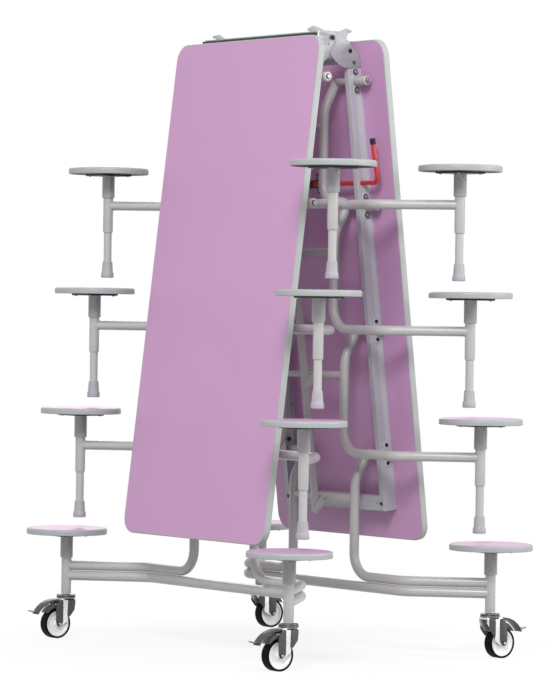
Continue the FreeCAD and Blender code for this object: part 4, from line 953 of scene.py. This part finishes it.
def swivel_fork(name, at, in_side_plane):
    inside = FORK_INSIDE
    outside = inside + FORK_WALL
    up = Vector((0, 0, 1))
    builder = bmesh.new()
    # The race is dark worn steel and a short collar under the stem bright zinc: a painted dark reflection and a painted
    # highlight on the swivel head.
    race = [(0.0, 0.1345), (0.0300, 0.1345), (0.0318, 0.1352), (0.0325, 0.1368), (0.0325, 0.1405),
            (0.0317, 0.1412), (0.0300, 0.1414, 1), (0.0296, 0.1421, 1), (0.0300, 0.1428), (0.0322, 0.1430),
            (0.0325, 0.1437), (0.0322, 0.1462), (0.0300, 0.1478), (0.0160, 0.1490), (0.0125, 0.1492, 0),
            (0.0125, 0.1510, 0), (0.0120, 0.1516, 0), (0.0100, 0.1516, 0), (0.0099, 0.1900, 0),
            (0.0090, 0.1918, 0), (0.0, 0.1918)]
    lathe(builder, race, at(0, 0, 0), up, Vector((1, 0, 0)), 56, 2)
    crown = rounded_outline([(-0.029, -outside), (-0.029, outside), (0.030, outside), (0.030, -outside)], 0.009)
    plate(builder, crown, lambda u, v, h: at(u, v, h), 0.1290, 0.1348)
    band_back, band_front = LEG_BAND
    leg = rounded_outline([(-0.028, 0.1335), (-0.028, 0.116), (band_back, AXLE_Z + 0.026),
                           (band_back, AXLE_Z + 0.008), (band_front - 0.002, AXLE_Z - 0.002),
                           (AXLE_TRAIL, AXLE_Z - 0.008), (AXLE_TRAIL + 0.010, AXLE_Z - 0.001),
                           (AXLE_TRAIL + 0.011, AXLE_Z + 0.012), (0.038, 0.1335)], 0.005)
    for low in (inside, -outside):
        plate(builder, leg, in_side_plane, low, low + FORK_WALL)
    mesh = baked(closed_mesh(builder, "fork"), bevel(0.0007, 40))
    smooth(mesh, 35)
    new_piece(name + "_fork_finished", mesh, name + "_swivel", [ZINC, RUBBER, WORN_STEEL_AND_PAINTED_REFLECTION],
              (name + "_fork",))

    builder = bmesh.new()
    axle_cover = [(band_front, COVER_TOP), (band_front, AXLE_Z + 0.001), (AXLE_TRAIL + 0.003, AXLE_Z - 0.012),
                  (AXLE_TRAIL + 0.013, AXLE_Z + 0.003), (AXLE_TRAIL + 0.013, AXLE_Z + 0.058), (0.040, COVER_TOP)]
    heel_cover = [(band_back, COVER_TOP), (-0.022, COVER_TOP), (-0.020, AXLE_Z + 0.046),
                  (band_back - 0.007, AXLE_Z + 0.024), (band_back, AXLE_Z + 0.022)]
    start = outside + 0.0004
    for side in (-1, 1):
        faces = sorted((side * start, side * (start + COVER_WALL)))
        plate(builder, rounded_outline(axle_cover, 0.008), in_side_plane, *faces)
        plate(builder, rounded_outline(heel_cover, 0.006), in_side_plane, *faces)
    fender_shell(builder, at)
    mesh = baked(closed_mesh(builder, "guard"), bevel(0.0008, 40))
    smooth(mesh, 35)
    new_piece(name + "_guard", mesh, name + "_swivel", [DARK_PLASTIC])

    builder = bmesh.new()
    face = outside + 0.0004 + COVER_WALL
    for side in (-1, 1):
        across = Vector((0, side, 0))
        # The washers are black, partly painted shade round the bright axle nuts.
        washer = [(0.0, 0.0), (0.0071, 0.0), (0.0075, 0.0004), (0.0075, 0.0012), (0.0069, 0.0017), (0.0, 0.0017)]
        lathe(builder, washer, at(AXLE_TRAIL, side * face, AXLE_Z), across, Vector((1, 0, 0)), 32, 1)
        nut = [(0.0, 0.0012), (0.0048, 0.0012), (0.0050, 0.0018), (0.0050, 0.0046), (0.0042, 0.0054),
               (0.0, 0.0054)]
        lathe(builder, nut, at(AXLE_TRAIL, side * face, AXLE_Z), across, Vector((1, 0, 0)), 6)
    lathe(builder, [(0.0, -face), (0.0059, -face), (0.0059, face), (0.0, face)], at(AXLE_TRAIL, 0, AXLE_Z),
          Vector((0, 1, 0)), Vector((1, 0, 0)), 24)
    mesh = closed_mesh(builder, "axle")
    smooth(mesh, 28)
    new_piece(name + "_axle", mesh, name + "_swivel", [STEEL, BLACK_STEEL_AND_PAINTED_SHADE])


def fender_shell(builder, at):
    """Guard over the tyre: thin at its ends and deepest under the pedal, with a lip along each side."""
    inner, outer = 0.0562, 0.0598
    swell = 0.0082
    half = FORK_INSIDE - 0.0006
    first_angle, peak, last_angle = 40, 75, 140
    rings = []
    steps = 30
    for step in range(steps + 1):
        turn = first_angle + (last_angle - first_angle) * step / steps
        top = outer + swell * max(0.0, 1 - abs(turn - peak) / (peak - first_angle))
        section = [(inner, -half), (top - 0.0008, -half), (top, -half + 0.0016), (top, half - 0.0016),
                   (top - 0.0008, half), (inner, half), (inner, half - 0.002), (inner + 0.0012, half - 0.003),
                   (inner + 0.0012, -half + 0.003), (inner, -half + 0.002)]
        angle = math.radians(turn)
        rings.append([builder.verts.new(at(AXLE_TRAIL + radius * math.cos(angle), across,
                                           AXLE_Z + radius * math.sin(angle))) for radius, across in section])
    count = len(rings[0])
    for first, second in zip(rings, rings[1:]):
        for index in range(count):
            after = (index + 1) % count
            builder.faces.new((first[index], first[after], second[after], second[index]))
    builder.faces.new(rings[0])
    builder.faces.new(rings[-1])


def wheel(name, at):
    """Rounded tyre on a dished hub with a raised rim."""
    axis = Vector((0, 1, 0))
    across = Vector((1, 0, 0))
    origin = at(AXLE_TRAIL, 0, AXLE_Z)
    builder = bmesh.new()
    tyre = [(0.0441, -0.0165), (0.0447, -0.0176)]
    tyre += arc_points((0.0474, -0.0154), 0.0026, -80, -8, 6)
    tyre += [(0.04997, -0.0080), (0.0500, 0.0), (0.04997, 0.0080)]
    tyre += arc_points((0.0474, 0.0154), 0.0026, 8, 80, 6)
    tyre += [(0.0447, 0.0176), (0.0441, 0.0165)]
    lathe(builder, tyre, origin, axis, across, 88, 0, closed=True)
    hub = [(0.0064, 0.0188), (0.0108, 0.0188), (0.0118, 0.0180), (0.0126, 0.0136), (0.0150, 0.0120),
           (0.0200, 0.0114), (0.0300, 0.0112), (0.0350, 0.0118), (0.0368, 0.0136), (0.0380, 0.0149),
           (0.0402, 0.0155), (0.0428, 0.0154), (0.0439, 0.0142)]
    mirrored = [(radius, -height) for radius, height in reversed(hub)]
    lathe(builder, hub + mirrored, origin, axis, across, 88, 1, closed=True)
    mesh = closed_mesh(builder, "wheel")
    smooth(mesh, 40)
    new_piece(name + "_wheel_finished", mesh, name + "_roll", [TYRE, HUB], (name + "_wheel",))


def pedal(name, at, in_side_plane):
    """Curved brake pedal with tread ribs and a steel tip."""
    middle = (0.045, 0.040)
    outer = 0.093
    thick = 0.006
    half = FORK_INSIDE - 0.0012
    start = math.degrees(math.acos((0.123 - middle[0]) / (outer - thick / 2)))
    end = math.degrees(math.acos((0.024 - middle[0]) / (outer - thick / 2)))
    builder = bmesh.new()
    rings = []
    steps = 36
    for step in range(steps + 1):
        angle = math.radians(start + (end - start) * step / steps)
        taper = half * (1 - 0.10 * (1 - step / steps) ** 2)
        section = [(outer - thick, -taper), (outer - 0.0012, -taper), (outer, -taper + 0.002),
                   (outer, taper - 0.002), (outer - 0.0012, taper), (outer - thick, taper)]
        rings.append([builder.verts.new(at(middle[0] + radius * math.cos(angle), across,
                                           middle[1] + radius * math.sin(angle))) for radius, across in section])
    count = len(rings[0])
    for first, second in zip(rings, rings[1:]):
        for index in range(count):
            after = (index + 1) % count
            builder.faces.new((first[index], first[after], second[after], second[index]))
    builder.faces.new(rings[0])
    builder.faces.new(rings[-1])
    for rib in range(9):
        angle = math.radians(start + 2.2 + rib * 3.2)
        radial = Vector((math.cos(angle), math.sin(angle)))
        along = Vector((-radial.y, radial.x))
        core = Vector(middle) + radial * (outer - 0.0003)
        outline = [core - along * 0.0013, core - along * 0.0007 + radial * 0.0014,
                   core + along * 0.0007 + radial * 0.0014, core + along * 0.0013]
        plate(builder, [tuple(point) for point in outline], in_side_plane, -half * 0.80, half * 0.80)
    lug = arc_points((0.030, 0.1225), 0.0075, 0, 345, 20)
    plate(builder, lug, in_side_plane, -half, half)
    mesh = baked(closed_mesh(builder, "pedal"), bevel(0.0005, 40))
    smooth(mesh, 35)
    new_piece(name + "_pedal_finished", mesh, name + "_brake", [DARK_PLASTIC], (name + "_pedal",))

    builder = bmesh.new()
    blade = [(0.113, 0.0920), (0.139, 0.0920), (0.1455, 0.0948), (0.147, 0.0972), (0.1455, 0.0982),
             (0.138, 0.0946), (0.113, 0.0946)]
    plate(builder, blade, in_side_plane, -0.011, 0.011)
    pin = Vector((0, 1, 0))
    reach = FORK_INSIDE + FORK_WALL + 0.002
    lathe(builder, [(0.0, -reach), (0.0026, -reach), (0.003, -reach + 0.0005), (0.003, reach - 0.0005),
                    (0.0026, reach), (0.0, reach)], at(0.030, 0, 0.1225), pin, Vector((1, 0, 0)), 20)
    mesh = baked(closed_mesh(builder, "pedal_tip"), bevel(0.0005, 40))
    smooth(mesh, 35)
    new_piece(name + "_pedal_tip", mesh, name + "_brake", [WORN_STEEL_AND_PAINTED_REFLECTION])


# =====================================================================
# The whole object
# =====================================================================

for half_name, half_side in HALVES.items():
    build_half(half_name, half_side)
    for castor_side in ("a", "b"):
        build_castor("castor_" + half_name + "_" + castor_side, half_side)
softened("gap_strip", [STRIP_METAL, RUBBER], edge=0.0006,
         choose=lambda low, high: 0 if (high - low).z > 0.02 else 1)
softened("spring_tube", [SPRING_PAINT], edge=0.0010)
softened("lock_lever", [RED], edge=0.0006)
lever_grip()


# =====================================================================
# Floor, light and camera
# =====================================================================

def seen_directly(tree):
    """One for rays from the camera, also by way of glossy or clear surfaces."""
    rays = add(tree, "ShaderNodeLightPath").outputs
    reflected = maths(tree, "ADD", rays["Is Glossy Ray"], rays["Is Transmission Ray"])
    return maths(tree, "ADD", rays["Is Camera Ray"], reflected, clamp=True)


def floor():
    """Pale sheet that takes the object's shadow and turns into the white ground further out."""
    material = bpy.data.materials.new("pale_floor")
    material.use_nodes = True
    tree = material.node_tree
    shader = tree.nodes["Principled BSDF"]
    shader.inputs["Base Color"].default_value = (0.93, 0.93, 0.93, 1)
    shader.inputs["Roughness"].default_value = 0.9
    shader.inputs["Specular IOR Level"].default_value = 0.1
    where = add(tree, "ShaderNodeTexCoord").outputs["Object"]
    distance = add(tree, "ShaderNodeVectorMath", {0: where}, operation="LENGTH").outputs["Value"]
    far = maths(tree, "DIVIDE", maths(tree, "SUBTRACT", distance, 0.55), 0.6, clamp=True)
    direct = seen_directly(tree)
    dim = add(tree, "ShaderNodeBsdfDiffuse", {"Color": (0.45, 0.45, 0.45, 1)})
    near = add(tree, "ShaderNodeMixShader", {0: direct, 1: dim.outputs[0], 2: shader.outputs[0]})
    white = add(tree, "ShaderNodeEmission", {"Color": (1, 1, 1, 1), "Strength": 1.0})
    glow = maths(tree, "ADD", maths(tree, "MULTIPLY", far, 0.2), 0.8)
    share = maths(tree, "MULTIPLY", glow, direct)
    mix = add(tree, "ShaderNodeMixShader", {0: share, 1: near.outputs[0], 2: white.outputs[0]})
    tree.links.new(mix.outputs[0], tree.nodes["Material Output"].inputs["Surface"])
    size = 30.0
    mesh = bpy.data.meshes.new("floor")
    mesh.from_pydata([(-size, -size, 0), (size, -size, 0), (size, size, 0), (-size, size, 0)], [], [(0, 1, 2, 3)])
    mesh.materials.append(material)
    sheet = bpy.data.objects.new("floor", mesh)
    bpy.context.scene.collection.objects.link(sheet)


def area_light(name, place, target, size, power):
    lamp = bpy.data.lights.new(name, "AREA")
    lamp.shape = "DISK"
    lamp.size = size
    lamp.energy = power
    holder = bpy.data.objects.new(name, lamp)
    direction = Vector(target) - Vector(place)
    holder.matrix_world = Matrix.Translation(place) @ direction.to_track_quat("-Z", "Y").to_matrix().to_4x4()
    bpy.context.scene.collection.objects.link(holder)


def sky():
    """Soft even light; white behind the object."""
    world = bpy.data.worlds.new("studio")
    world.use_nodes = True
    bpy.context.scene.world = world
    tree = world.node_tree
    tree.nodes.clear()
    light = add(tree, "ShaderNodeBackground", {"Color": (1, 1, 1, 1), "Strength": 0.55})
    white = add(tree, "ShaderNodeBackground", {"Color": (1, 1, 1, 1), "Strength": 1.0})
    mix = add(tree, "ShaderNodeMixShader", {0: seen_directly(tree), 1: light.outputs[0], 2: white.outputs[0]})
    add(tree, "ShaderNodeOutputWorld", {"Surface": mix.outputs[0]})


floor()
sky()
area_light("key", (-5.5, -6.0, 6.5), (0, 0, 0.9), 3.2, 570)
area_light("fill", (5.0, -5.0, 3.5), (0, 0, 1.0), 4.0, 230)
area_light("back", (3.5, 6.5, 4.5), (0, 0, 1.0), 4.0, 130)

CAMERA_PLACE = (-7.2342, -9.8064, 1.1483)
CAMERA_TURN = math.radians(-36.457)
CAMERA_DOWN = math.radians(0.7158)
CAMERA_ROLL = math.radians(0.8022)
FOCAL_PIXELS = 3659.1
IMAGE_WIDTH = 559
SENSOR = 36.0
lens = bpy.data.cameras.new("camera")
lens.sensor_fit = "HORIZONTAL"
lens.sensor_width = SENSOR
lens.lens = FOCAL_PIXELS / IMAGE_WIDTH * SENSOR
lens.clip_end = 100
camera = bpy.data.objects.new("camera", lens)
camera.matrix_world = (Matrix.Translation(CAMERA_PLACE) @ Matrix.Rotation(CAMERA_TURN, 4, "Z")
                       @ Matrix.Rotation(math.pi / 2 - CAMERA_DOWN, 4, "X") @ Matrix.Rotation(CAMERA_ROLL, 4, "Z"))
bpy.context.scene.collection.objects.link(camera)
bpy.context.scene.camera = camera
bpy.context.scene.view_settings.view_transform = "Standard"

bpy.context.view_layer.update()
